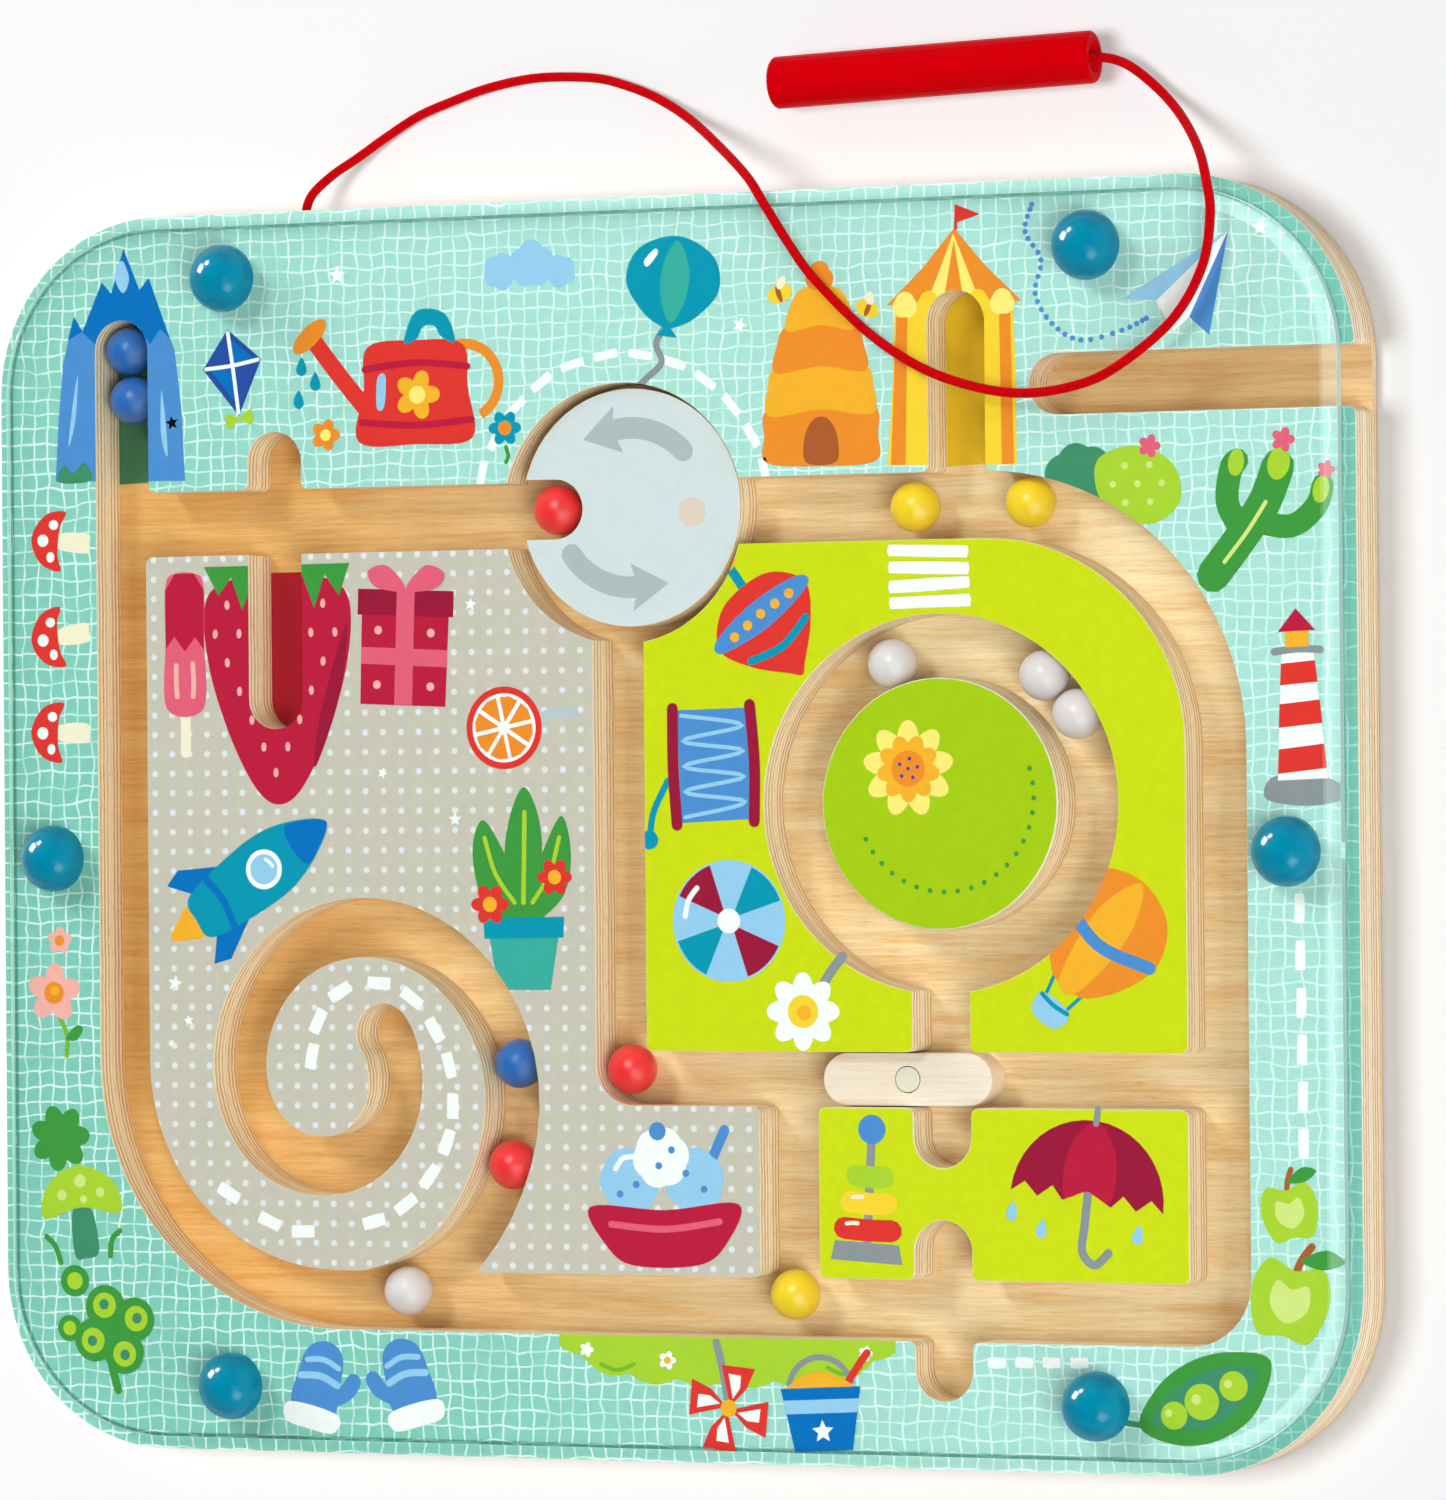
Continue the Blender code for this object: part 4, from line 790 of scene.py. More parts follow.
def oval(x, y, across, up, turn=0.0):
    points = [Vector((across * spin(angle, 1).x, up * spin(angle, 1).y)) for angle in range(0, 360, 10)]
    return moved(points, (x, y), turn)


def disc(x, y, radius):
    return oval(x, y, radius, radius)


def lumpy(x, y, radius, lumps, depth, turn=0.0):  # petals, clouds and bushes
    points = []
    for k in range(lumps * 12):
        angle = k * 30 / lumps
        points.append(spin(angle, radius * (1 - depth * (1 - abs(math.cos(math.radians(angle * lumps / 2)))))))
    return moved(points, (x, y), turn)


def star(x, y, outer, inner, turn=90.0):
    return moved([spin(36 * k, inner if k % 2 else outer) for k in range(10)], (x, y), turn)


def flat(*points):
    return [Vector(point) for point in points]


def soft(*points):
    return throughPoints(flat(*points), 6, closed=True)


def ringOf(x, y, across, up, count, step, radius):  # small dots along an oval
    return [disc(x + across * math.cos(k * step), y + up * math.sin(k * step), radius) for k in range(count)]


def mirrored(outline):
    return [Vector((-point.x, point.y)) for point in outline]


def even(*points):  # one half's points, and then the other half's
    return [*points, *((-x, y) for x, y in points[::-1] if x)]


def band(width, *points):  # a strip with round ends along a smooth line
    line = throughPoints(flat(*points), 6)
    left, right = [], []
    for k, point in enumerate(line):
        ahead = line[min(k + 1, len(line) - 1)] - line[max(k - 1, 0)]
        side = Vector((-ahead.y, ahead.x)).normalized() * width / 2
        left.append(point + side)
        right.append(point - side)

    def roundEnd(centre, start):
        base = math.degrees(math.atan2(*(start - centre).yx))
        return [centre + spin(base + turn, width / 2) for turn in (36, 72, 108, 144)]

    return right + roundEnd(line[-1], right[-1]) + left[::-1] + roundEnd(line[0], left[0])


def dash(x, y, length, width, turn=0.0, jitter=0.10):  # a hand-cut bar
    corners = [(-1, -1), (-0.2, -1.06), (1, -1), (1.04, 0.1), (1, 1), (0.1, 1.05), (-1, 1), (-1.04, 0)]
    points = []
    for across, up in corners:
        shift = Vector((wobble.uniform(-jitter, jitter), wobble.uniform(-jitter, jitter)))
        points.append(Vector((across * length / 2, up * width / 2)) + shift)
    return moved(points, (x, y), turn)


def ringPart(x, y, radius, width, start, end):
    angles = [start + (end - start) * k / 24 for k in range(25)]
    outer, inner = ([Vector((x, y)) + spin(a, radius + side * width / 2) for a in angles] for side in (1, -1))
    return outer + inner[::-1]


# Motifs lie as thin sheets of ink just above the printed face, stacked where they overlap
printStack = {"first": 14.92, "step": 0.021, "thick": 0.018, "most": 10}
floorStack = {"first": 3.005, "step": 0.0, "thick": 0.04, "most": 0}
discStack = {"first": 13.31, "step": 0.0, "thick": 0.03, "most": 0}


def stackLevels(shapes, lowest, most):
    levels, boxes = [], []
    for ink, outline in shapes:
        xs, ys = [p.x for p in outline], [p.y for p in outline]
        box = (min(xs), min(ys), max(xs), max(ys))
        under = [
            level for level, other in zip(levels, boxes)
            if box[0] < other[2] and other[0] < box[2] and box[1] < other[3] and other[1] < box[3]
        ]
        levels.append(min(max(under, default=lowest - 1) + 1, most))
        boxes.append(box)
    return levels


def inkMesh(name, shapes, stack, lowest=0):
    names = list(dict.fromkeys(ink for ink, outline in shapes))
    shape = bmesh.new()
    for (ink, outline), level in zip(shapes, stackLevels(shapes, lowest, stack["most"])):
        low = (stack["first"] + stack["step"] * level) * mm
        heights = (low, low + stack["thick"] * mm)
        bottom, top = ([shape.verts.new((p.x * mm, p.y * mm, height)) for p in outline] for height in heights)
        faces = [shape.faces.new(bottom[::-1]), shape.faces.new(top)]
        for k in range(len(outline)):
            ahead = (k + 1) % len(outline)
            faces.append(shape.faces.new((bottom[k], bottom[ahead], top[ahead], top[k])))
        for face in faces:
            face.material_index = names.index(ink)
    bmesh.ops.recalc_face_normals(shape, faces=shape.faces)
    mesh = meshOf(name, shape)
    for ink in names:
        mesh.materials.append(inkOf(ink))
    return mesh


def trimTo(piece, node):  # keeps only what lies on the node's top face
    raised = bpy.data.objects.new("raised", node.data.copy())
    bpy.context.collection.objects.link(raised)
    join(raised)
    raised.location.z = 6 * mm
    trim = piece.modifiers.new("trim", "BOOLEAN")
    trim.operation, trim.solver, trim.object = "INTERSECT", "EXACT", raised
    bpy.context.view_layer.update()
    shown = piece.evaluated_get(bpy.context.evaluated_depsgraph_get())
    trimmed = bpy.data.meshes.new_from_object(shown)
    piece.modifiers.clear()
    piece.data = trimmed
    bpy.data.objects.remove(raised)


def addMotif(name, node, look, shapes, trim=False):
    to, turn, size = look.get("place", (0, 0)), look.get("turn", 0.0), look.get("size", 1.0)
    placed = [(look.get(ink, ink), moved(outline, to, turn, size)) for ink, outline in shapes]
    piece = addPiece(name, inkMesh(name, placed, printStack, look.get("over", 0)), "board")
    if trim:
        trimTo(piece, nodes[node])


# Floor paint in the two garages and the red slot
floorPaint = {
    "garageFloorGreen": ("floorGreen", (-137.9, 79.5, -124.1, 116.6)),
    "garageFloorYellow": ("floorYellow", (65.0, 78.5, 79.0, 116.6)),
    "slotFloorRed": ("floorRed", (-99.6, 22.6, -85.6, 58.6)),
}
for name, (ink, (left, bottom, right, top)) in floorPaint.items():
    outline = flat((left, bottom), (right, bottom + 0.6), (right, top), (left, top))
    addPiece(name, inkMesh(name, [(ink, outline)], floorStack), "board")


# Turning arrows on the turntable, and the paint that covers its plug and the gap round it
arrowLook = {
    "centre": Vector((-5.726, 70.887)), "radius": 17.6, "width": 4.8, "sweep": 58, "starts": (44, 215),
    "head": 10.6, "tip": 25, "tipOut": 1.5, "barbs": (2, 4), "ink": "arrowGrey",
}
plugSkin = {"ink": "peach", "overlap": 0.45}


def arrowOutline(look, start):
    centre, radius, half = look["centre"], look["radius"], look["head"] / 2
    neck = start + look["sweep"]
    butt = centre + spin(start, radius)
    tail = [butt + spin(start + 180 + turn, look["width"] / 2) for turn in (30, 60, 90, 120, 150)]
    strip = ringPart(*centre, radius, look["width"], start, neck)
    head = [
        centre + spin(neck - look["barbs"][0], radius + half),
        centre + spin(neck + look["tip"], radius + look["tipOut"]),
        centre + spin(neck - look["barbs"][1], radius - half),
    ]
    return strip[:25] + head + strip[25:] + tail


def addPlugSkin(look):
    centre, size = middle("turntable_plug")
    skin = disc(centre.x / mm, centre.y / mm, size.x / 2 / mm + look["overlap"])
    addPiece("plugSkin", inkMesh("plugSkin", [(look["ink"], skin)], discStack), "turntable")


arrows = [(arrowLook["ink"], arrowOutline(arrowLook, start)) for start in arrowLook["starts"]]
addPiece("turntableArrows", inkMesh("turntableArrows", arrows, discStack), "turntable")
addPlugSkin(plugSkin)


# Dashes: round the well, on the right and bottom borders, along the spiral, and the crossing's bars
dashLook = {
    "dash": "white",
    "well": {"centre": (-7.2, 69.6), "radius": 35.2, "from": 14, "to": 164, "count": 12, "size": (5.6, 1.9)},
    "right": {"from": (149.3, -18), "to": (149.8, -68), "count": 6, "size": (6.2, 2.2), "turn": 90},
    "bottom": {"from": (79.5, -116.0), "to": (98.5, -115.6), "count": 4, "size": (4.0, 2.2), "turn": 0},
    "crossing": {"from": (65.2, 59.8), "to": (65.6, 48.8), "count": 4, "size": (18.4, 2.6), "turn": 0},
    "spiral": {"size": (5.6, 2.7), "places": (
        (-105.4, -81.5, 329), (-95.2, -87.7, 336), (-86.9, -89.9, 1), (-69.2, -87.4, 14), (-61.3, -83.5, 36),
        (-55.3, -77.2, 54), (-51.1, -69.5, 70), (-49.5, -61.5, 88), (-50.4, -52.4, 104), (-53.8, -44.6, 121),
        (-59.4, -37.5, 143), (-67.5, -34.1, 176), (-77.2, -36.1, 210), (-82.7, -42.7, 244), (-84.3, -50.5, 258),
    )},
}


def dashRow(look):
    start, end = Vector(look["from"]), Vector(look["to"])
    steps = [start.lerp(end, k / (look["count"] - 1)) for k in range(look["count"])]
    return [("dash", dash(*point, *look["size"], look["turn"] + wobble.uniform(-3, 3))) for point in steps]


def dashArc(look):
    last = look["count"] - 1
    angles = [look["from"] + (look["to"] - look["from"]) * k / last for k in range(look["count"])]
    places = [(Vector(look["centre"]) + spin(a, look["radius"]), a + 90) for a in angles]
    return [("dash", dash(*point, *look["size"], turn + wobble.uniform(-5, 5))) for point, turn in places]


borderDashes = dashArc(dashLook["well"]) + dashRow(dashLook["right"]) + dashRow(dashLook["bottom"])
addMotif("borderDashes", "maze_frame", dashLook, borderDashes, True)
addMotif("crossingBars", "upper_green_island", dashLook, dashRow(dashLook["crossing"]), True)
spiral = dashLook["spiral"]
spiralDashes = [("dash", dash(x, y, *spiral["size"], turn)) for x, y, turn in spiral["places"]]
addMotif("spiralDashes", "grey_island", dashLook, spiralDashes, True)
print("dashes done")


# Blue mountain round the first garage
mountain = {"place": (-131.2, 80), "slope": "skyBlue", "peak": "deepBlue", "snow": "paleBlue", "foot": "forest"}
mountainShapes = [
    ("slope", flat(
        (-16.8, 0), (-15.9, 14), (-14.6, 27), (-11.8, 37.5), (-9.6, 34), (-4.6, 45), (-2.2, 42.4), (1, 52.5),
        (5, 43), (7.4, 45.6), (11.6, 34.5), (13.8, 29), (15.4, 16), (16.2, -0.6),
    )),
    ("peak", flat(
        (-13.4, 32), (-11.8, 37.5), (-9.6, 34), (-4.6, 45), (-2.2, 42.4), (1, 52.5), (5, 43), (7.4, 45.6),
        (11.6, 34.5), (12.7, 31.6), (10.2, 34), (7.6, 30.6), (4.4, 35), (1, 31.2), (-2.8, 35.4), (-6.2, 30.8),
        (-9.8, 34),
    )),
    ("snow", soft((-13.4, 8), (-12.3, 17), (-10.9, 24), (-11.6, 14))),
    ("snow", soft((11.8, 5), (11.4, 13), (10.4, 20), (10.2, 10))),
    ("snow", soft((-1.2, 46), (0.6, 49.8), (2.4, 45.6), (0.8, 42.4))),
    ("foot", soft((-16.4, 0.2), (-14.6, 3.6), (-12.2, 1.9), (-9.4, 4.2), (-7.4, 0.4), (-12, -0.5))),
]
addMotif("mountainPrint", "maze_frame", mountain, mountainShapes, True)


# Kite beside it
kite = {"place": (-102.6, 103.2), "turn": 8, "sail": "navy", "panel": "deepBlue", "cross": "white", "tail": "lime"}
kiteShapes = [
    ("sail", flat((0, 10.2), (7.4, 2.2), (0, -9.6), (-7.4, 2.2))),
    ("panel", flat((0, 8.4), (5.8, 2.4), (0, 1.6))),
    ("panel", flat((0, 1), (-5.4, 1.6), (0, -7))),
    ("cross", band(0.9, (0, 9.4), (0.1, 0), (0, -8.8))),
    ("cross", band(0.9, (-6.6, 2.2), (0, 1.9), (6.6, 2.2))),
    ("tail", soft((0, -9.8), (3.2, -8.6), (3, -12), (0, -10.6), (-3, -12.2), (-3.2, -8.8))),
]
addMotif("kitePrint", "maze_frame", kite, kiteShapes)


# Watering can over a flower bed
wateringCan = {
    "place": (-57, 98.6), "body": "red", "rim": "crimson", "metal": "teal", "shine": "paleBlue", "rose": "orange",
    "handle": "orange", "spout": "red", "petal": "amber", "eye": "lemon", "leaf": "leaf", "drop": "teal",
}
wateringShapes = [
    ("handle", ringPart(11.8, 1.2, 8.4, 2.3, -62, 128)),
    ("body", soft(
        (-12, 9.6), (0, 10.8), (11.4, 9.6), (12.6, 0), (13.6, -11.4), (0, -12.4), (-14.4, -11.6), (-13, 0),
    )),
    ("spout", band(4, (-11.5, -5.4), (-19, 3.4), (-25.5, 11.6))),
    ("rose", moved(oval(0, 0, 5.2, 2.2), (-26.4, 12.4), 42)),
    ("rim", band(1.5, (-12.8, 4.6), (0, 5.8), (12.6, 4.6))),
    ("rim", band(1.5, (-13.6, -7.2), (0, -8.2), (13.6, -7.2))),
    ("petal", lumpy(0.2, -1.4, 5.6, 5, 0.42)), ("eye", disc(0.2, -1.4, 2)),
    ("shine", soft((-9.6, 2.6), (-7.6, 3), (-8, -3.8), (-9.8, -4))),
    ("metal", soft((-3, 10.4), (0, 17.2), (7, 16.6), (9.6, 10.2), (6.2, 11.4), (4.6, 13.8), (1.8, 13.8), (0, 11))),
    ("drop", soft((-28.4, 7.8), (-27.2, 4.8), (-28.6, 3.6), (-29.8, 5))),
    ("drop", soft((-25, 4.4), (-23.8, 1.2), (-25.2, 0.2), (-26.4, 1.6))),
    ("drop", soft((-29.2, 0.4), (-28, -2.6), (-29.4, -3.8), (-30.6, -2.2))),
    ("metal", lumpy(21.6, -9.4, 4, 6, 0.35)), ("rose", disc(21.6, -9.4, 1.6)),
    ("rose", lumpy(-22.6, -9.8, 3.6, 5, 0.35)), ("eye", disc(-22.6, -9.8, 1.3)),
    ("leaf", band(0.9, (21.8, -13.6), (22.4, -15.6), (21.8, -17))),
]
addMotif("wateringCanPrint", "maze_frame", wateringCan, wateringShapes, True)


# Balloon on a string above the well
balloon = {
    "over": 1, "place": (5.4, 119.4), "turn": -8, "skin": "teal", "stripe": "sea", "shine": "white",
    "string": "grey",
}
balloonShapes = [
    ("string", band(1.5, (-0.2, -8.5), (-2.2, -13), (-0.4, -17), (-3.6, -21), (-6.4, -24))),
    ("skin", soft(*even((0, 11), (9, 7.4), (11.2, 0), (6.4, -6.4), (1.4, -9.2)))),
    ("stripe", soft((0, 10), (3.6, 4), (3.4, -3), (0.6, -8.2), (-2.4, -3), (-2.8, 4))),
    ("skin", flat((-2.4, -11.2), (2.6, -11.2), (0, -8.4))),
    ("shine", soft((-7.4, 4.8), (-5.2, 7.6), (-4.4, 6.6), (-6.4, 3.6))),
]
addMotif("balloonPrint", "maze_frame", balloon, balloonShapes, True)


# Beehive and the striped tent round the second garage
hive = {
    "place": (40.4, 79.4), "straw": "orange", "pale": "amber", "door": "brown", "bee": "yellow", "wing": "cream",
}
hiveShapes = [
    ("straw", soft(
        (-12.8, 0.4), (-13.4, 6), (-12.6, 12), (0, 13.4), (12.6, 12), (13.4, 6), (12.8, 0.2), (0, -0.6),
    )),
    ("pale", soft(*even((-12.2, 10.6), (-12.4, 17), (-10.6, 21), (0, 22.2)), (0, 11.8))),
    ("straw", soft(*even((-10.6, 20), (-10.2, 26), (-8, 30), (0, 31.2)), (0, 21.2))),
    ("pale", soft(*even((-7.8, 29), (-7.2, 34), (-4.6, 38), (0, 38.8)), (0, 30.2))),
    ("straw", lumpy(0, 40.8, 3.4, 3, 0.2, 90)),
    ("door", soft(*even((-3.4, 0.2), (-4, 5), (-2.4, 9), (0, 10.2)))),
    ("bee", oval(-9.4, 37.4, 3, 2, 20)), ("door", oval(-9.6, 37.3, 0.6, 1.9, 20)),
    ("wing", oval(-9, 39.8, 1.6, 1, 60)),
    ("bee", oval(11.2, 33.4, 2.8, 1.9, -24)), ("door", oval(11.3, 33.4, 0.6, 1.8, -24)),
    ("wing", oval(11.8, 35.7, 1.5, 1, 100)),
]
addMotif("hivePrint", "maze_frame", hive, hiveShapes)

tent = {
    "place": (71.6, 78.6), "cloth": "yellow", "stripe": "orange", "roof": "orange", "trim": "lemon", "flag": "red",
}
tentShapes = [
    ("cloth", flat((-15.6, 0), (-14.2, 18), (-13.6, 35), (13.8, 35), (14.4, 18), (14.4, -0.6))),
    ("stripe", flat((-14.8, 0), (-13.2, 34), (-10.6, 34), (-11.4, 0))),
    ("stripe", flat((11, -0.4), (10.6, 34), (13.2, 34), (13.8, -0.4))),
    ("roof", flat((-15.4, 34.8), (-7, 42.6), (0.4, 51), (7.6, 42.6), (15.8, 34.8), (0, 33.8))),
    ("trim", flat((-5.6, 36), (0.2, 49.8), (5.8, 36), (0, 35.4))),
    ("roof", flat((-2, 36.2), (0.3, 48.4), (2.3, 36.2))),
    ("trim", lumpy(-11.2, 34.6, 3, 3, 0.15, 90)), ("cloth", lumpy(-5.6, 34.6, 3, 3, 0.15, 90)),
    ("trim", lumpy(0.1, 34.6, 3, 3, 0.15, 90)), ("cloth", lumpy(5.8, 34.6, 3, 3, 0.15, 90)),
    ("trim", lumpy(11.4, 34.6, 3, 3, 0.15, 90)),
    ("flag", flat((0.4, 50.6), (0.6, 56.2), (6.4, 53.8), (1.1, 52.2), (1.1, 50.6))),
]
addMotif("tentPrint", "maze_frame", tent, tentShapes, True)
print("top border motifs done")


# Paper plane and its dotted loop, clouds and stars
plane = {"place": (124.2, 114.6), "turn": 18, "paper": "paleBlue", "fold": "skyBlue", "under": "white"}
planeShapes = [
    ("paper", flat((-13.6, 2.6), (13.8, 8.4), (-2.2, -1.8))),
    ("fold", flat((-2.2, -1.8), (13.8, 8.4), (2.6, -11.4), (-0.4, -6.2))),
    ("under", flat((-6.4, -0.4), (13.8, 8.4), (-0.4, -6.2), (-4.8, -8))),
]
addMotif("paperPlane", "maze_frame", plane, planeShapes)

trail = {"dots": "skyBlue", "radius": 0.62, "steps": 4, "route": flat(
    (116, 108.6), (110.4, 106.2), (101, 104.4), (94.4, 108.2), (90.6, 114.8), (92, 122), (88.4, 128.2), (90, 134),
)}
trailPoints = throughPoints(trail["route"], trail["steps"])
trailShapes = [("dots", lumpy(*point, trail["radius"], 3, 0.12, 40 * k)) for k, point in enumerate(trailPoints)]
addMotif("planeTrail", "maze_frame", trail, trailShapes)

sky = {"cloud": "paleBlue", "star": "white"}
skyShapes = [
    ("cloud", lumpy(-28.6, 125.4, 5.4, 5, 0.16, 20)), ("cloud", lumpy(-36.2, 124, 4.2, 5, 0.16)),
    ("cloud", lumpy(-21.6, 123.6, 3.8, 5, 0.16, 40)),
    ("star", star(-76.4, 124.6, 2.3, 1)), ("star", star(21.4, 110.2, 1.9, 0.8, turn=70)),
    ("star", star(-118.2, 92.6, 1.7, 0.75, turn=100)), ("star", star(141.8, 127.2, 2, 0.9)),
]
addMotif("skyPrint", "maze_frame", sky, skyShapes)


# Cactus garden at the upper right
cactus = {
    "place": (122, 62), "stem": "leaf", "dark": "forest", "light": "lime", "spot": "paleLime", "bloom": "rose",
}
cactusShapes = [
    ("dark", lumpy(-21.4, 11.8, 8.6, 7, 0.10)),
    ("light", soft(
        (-17.2, 16.8), (-8.6, 19.4), (-0.4, 15.4), (1.4, 7.6), (-4.6, 2.6), (-13.2, 4.2), (-17.6, 9.8),
    )),
    *[("spot", dot) for dot in ringOf(-8.4, 11.2, 5.6, 4.6, 6, 1.05, 0.75)],
    ("spot", disc(-8.4, 11.2, 0.75)), ("bloom", lumpy(-5.6, 19.2, 2.6, 5, 0.4)),
    ("stem", band(7.4, (8.6, -8.8), (14.4, -1.6), (20.2, 6.4), (23.4, 14.2))),
    ("stem", band(5.2, (15.4, 0.4), (12, 6.6), (12.8, 13.8), (14.2, 15.6))),
    ("stem", band(5, (18.6, 2.4), (26.4, 1.4), (31.8, 5.4), (33.4, 9.8))),
    ("light", oval(23.6, 14.8, 2.5, 3.6, -14)), ("light", oval(14, 15.2, 1.8, 2.9, -8)),
    ("light", oval(33, 9, 1.8, 2.9, -12)),
    ("spot", band(0.9, (11.2, -6), (16.4, 0.4), (20.6, 6.6))),
    ("bloom", lumpy(24.6, 19.8, 2.7, 5, 0.4)), ("bloom", lumpy(34.2, 13.2, 2, 5, 0.4)),
]
addMotif("cactusPrint", "maze_frame", cactus, cactusShapes, True)


# Lighthouse on the right border
lighthouse = {
    "place": (149.8, 25), "turn": 2, "wall": "white", "stripe": "red", "roof": "crimson", "rock": "grey",
    "lamp": "amber",
}
lighthouseShapes = [
    ("rock", soft((-8.4, -19.4), (-7.4, -15.2), (-2, -14.2), (4, -15), (8.2, -17), (8, -20.4), (0, -21.2))),
    ("wall", flat(*even((-5.6, -15.6), (-3.6, 11.4)))),
    ("stripe", flat((-5.5, -14.2), (-5.1, -9), (5.1, -8.2), (5.5, -13.4))),
    ("stripe", flat((-4.9, -4.4), (-4.5, 0.6), (4.5, 1.2), (4.9, -3.8))),
    ("stripe", flat((-4.2, 4.6), (-3.8, 9.2), (3.8, 9.6), (4.2, 5))),
    ("rock", band(1.6, (-5.2, 11.8), (0, 12.2), (5.2, 11.8))),
    ("lamp", flat(*even((-2.6, 12.6), (-2.6, 16.4)))),
    ("roof", flat((-4.2, 16), (0, 20.8), (4.2, 16))),
]
addMotif("lighthousePrint", "maze_frame", lighthouse, lighthouseShapes)


# Toadstools down the left border
toadstool = {
    "cap": "red", "spot": "white", "stem": "cream",
    "places": ((-147.2, 66.4, 84), (-147.4, 44.6, 97), (-147.6, 22.8, 88)),
}
toadstoolShapes = [
    ("stem", soft((-2.1, -7.2), (-1.7, 0), (1.7, 0), (2.3, -7), (0, -7.8))),
    ("cap", soft((-6.8, -0.8), (-5.4, 4.4), (0, 7.2), (5.6, 4.2), (6.8, -1), (3, 0.2), (-3, 0.2))),
    ("spot", disc(-0.2, 4.2, 1.4)), ("spot", oval(-3.8, 1.9, 1.2, 1)), ("spot", oval(3.6, 1.8, 1.1, 1.2)),
]
for number, (across, up, turn) in enumerate(toadstool["places"], 1):
    look = {**toadstool, "place": (across, up), "turn": turn}
    addMotif(f"toadstool{number}", "maze_frame", look, toadstoolShapes)


# Flower, mushroom and clover down the left border
bloom = {
    "place": (-149.2, -37.6), "turn": 14, "petal": "blush", "centre": "orange", "heart": "amber", "leaf": "leaf",
    "stem": "grass",
}
bloomShapes = [
    ("stem", band(1.1, (0, -4), (0.8, -9), (-0.4, -13.4))),
    ("leaf", soft((0.4, -9.6), (3.6, -7.4), (5.2, -8.4), (3, -10.6))),
    ("petal", lumpy(0, 1.2, 6.8, 5, 0.40)), ("centre", disc(0, 1.2, 2.5)), ("heart", disc(0.4, 1.6, 1.1)),
    ("petal", lumpy(4.4, 12.4, 3.2, 5, 0.40)), ("centre", disc(4.4, 12.4, 1.2)),
]
addMotif("bloomPrint", "maze_frame", bloom, bloomShapes)

mushroom = {
    "place": (-143.2, -82.6), "turn": 6, "cap": "lime", "spot": "paleLime", "stem": "forest", "grass": "leaf",
}
mushroomShapes = [
    ("grass", lumpy(-3.6, 13.6, 7.6, 7, 0.3)),
    ("stem", soft((-2.8, -13.2), (-2.2, -3), (2.4, -3), (3.4, -12.8), (0, -14.2))),
    ("cap", soft((-9.8, -4.2), (-8, 3.2), (0, 7), (8.6, 2.8), (9.8, -4.6), (0, -2.6))),
    ("spot", disc(-4.6, 0.6, 1.2)), ("spot", disc(0.4, 3.4, 1.5)), ("spot", disc(5.2, 0.4, 1.1)),
    ("spot", disc(0.8, -0.8, 0.9)),
    ("grass", band(1.3, (-6.6, -14.6), (-7.6, -10.8), (-9.6, -8.4))),
    ("grass", band(1.3, (6.2, -14.2), (7, -10.6), (9.2, -8.8))),
]
addMotif("mushroomPrint", "maze_frame", mushroom, mushroomShapes, True)

clover = {"place": (-134.6, -112.8), "turn": -20, "leaf": "leaf", "light": "lime", "spot": "forest"}
cloverShapes = [("leaf", band(2, (0, 0), (1.6, -7), (5.4, -12.6)))]
for turn in (45, 135, 225, 315):
    lobe = spin(turn, 5.6)
    cloverShapes += [
        ("leaf", disc(*lobe, 5)), ("light", disc(*(lobe * 1.08), 2.9)), ("spot", disc(*(lobe * 1.12), 1.2)),
    ]
for x, y, radius in ((-13.2, 6.8, 3.6), (-10.8, -3.8, 3)):
    cloverShapes += [("leaf", disc(x, y, radius)), ("light", disc(x, y, radius * 0.55))]
addMotif("cloverPrint", "maze_frame", clover, cloverShapes, True)
print("left border motifs done")


# Mittens, bushes, pinwheel and bucket on the bottom border
mitten = {
    "hand": "skyBlue", "band": "paleBlue", "cuff": "white", "thumb": "skyBlue",
    "places": ((-83.4, -124.6, -14, 1), (-61, -123.6, 16, -1)),
}
mittenShapes = [
    ("thumb", band(3.8, (3.4, -2.4), (7, 0.4), (8.2, 3.2))),
    ("hand", soft((-5.2, -5.6), (-5.6, 2), (-4.4, 8), (0, 10.4), (4.2, 8.2), (5.2, 2), (4.8, -5.6))),
    ("band", band(1.6, (-4.8, 1.4), (0, 2.4), (4.6, 1.4))), ("band", band(1.3, (-4, 5.2), (0, 6.2), (4, 5.2))),
    ("cuff", soft(*even((-6.2, -9.2), (-6, -5)), (0, -9.8))),
]
for number, (across, up, turn, side) in enumerate(mitten["places"], 1):
    shapes = mittenShapes if side > 0 else [(ink, mirrored(outline)) for ink, outline in mittenShapes]
    look = {**mitten, "place": (across, up), "turn": turn}
    addMotif(f"mitten{number}", "maze_frame", look, shapes)

bushes = {"place": (16, -112.4), "bush": "lime", "shade": "grass", "flower": "white", "eye": "amber"}
bushTop = [Vector((x, -8.6 - 1.7 * abs(math.sin(x * 0.27)) + 8.4 * (abs(x) / 40) ** 4)) for x in range(-40, 41)]
bushShapes = [
    ("bush", bushTop + flat((40, 3), (-40, 3))),
    ("shade", band(0.9, (-30, -5.8), (-26, -7), (-22, -5.6))),
    ("shade", band(0.9, (24, -5.4), (28, -6.8), (32, -5.2))),
    ("flower", lumpy(-14, -4.6, 2.1, 5, 0.4)), ("eye", disc(-14, -4.6, 0.8)),
    ("flower", lumpy(33, -2.2, 1.7, 5, 0.4)), ("eye", disc(33, -2.2, 0.7)),
    ("flower", lumpy(-33.4, -2.6, 1.7, 5, 0.4)),
]
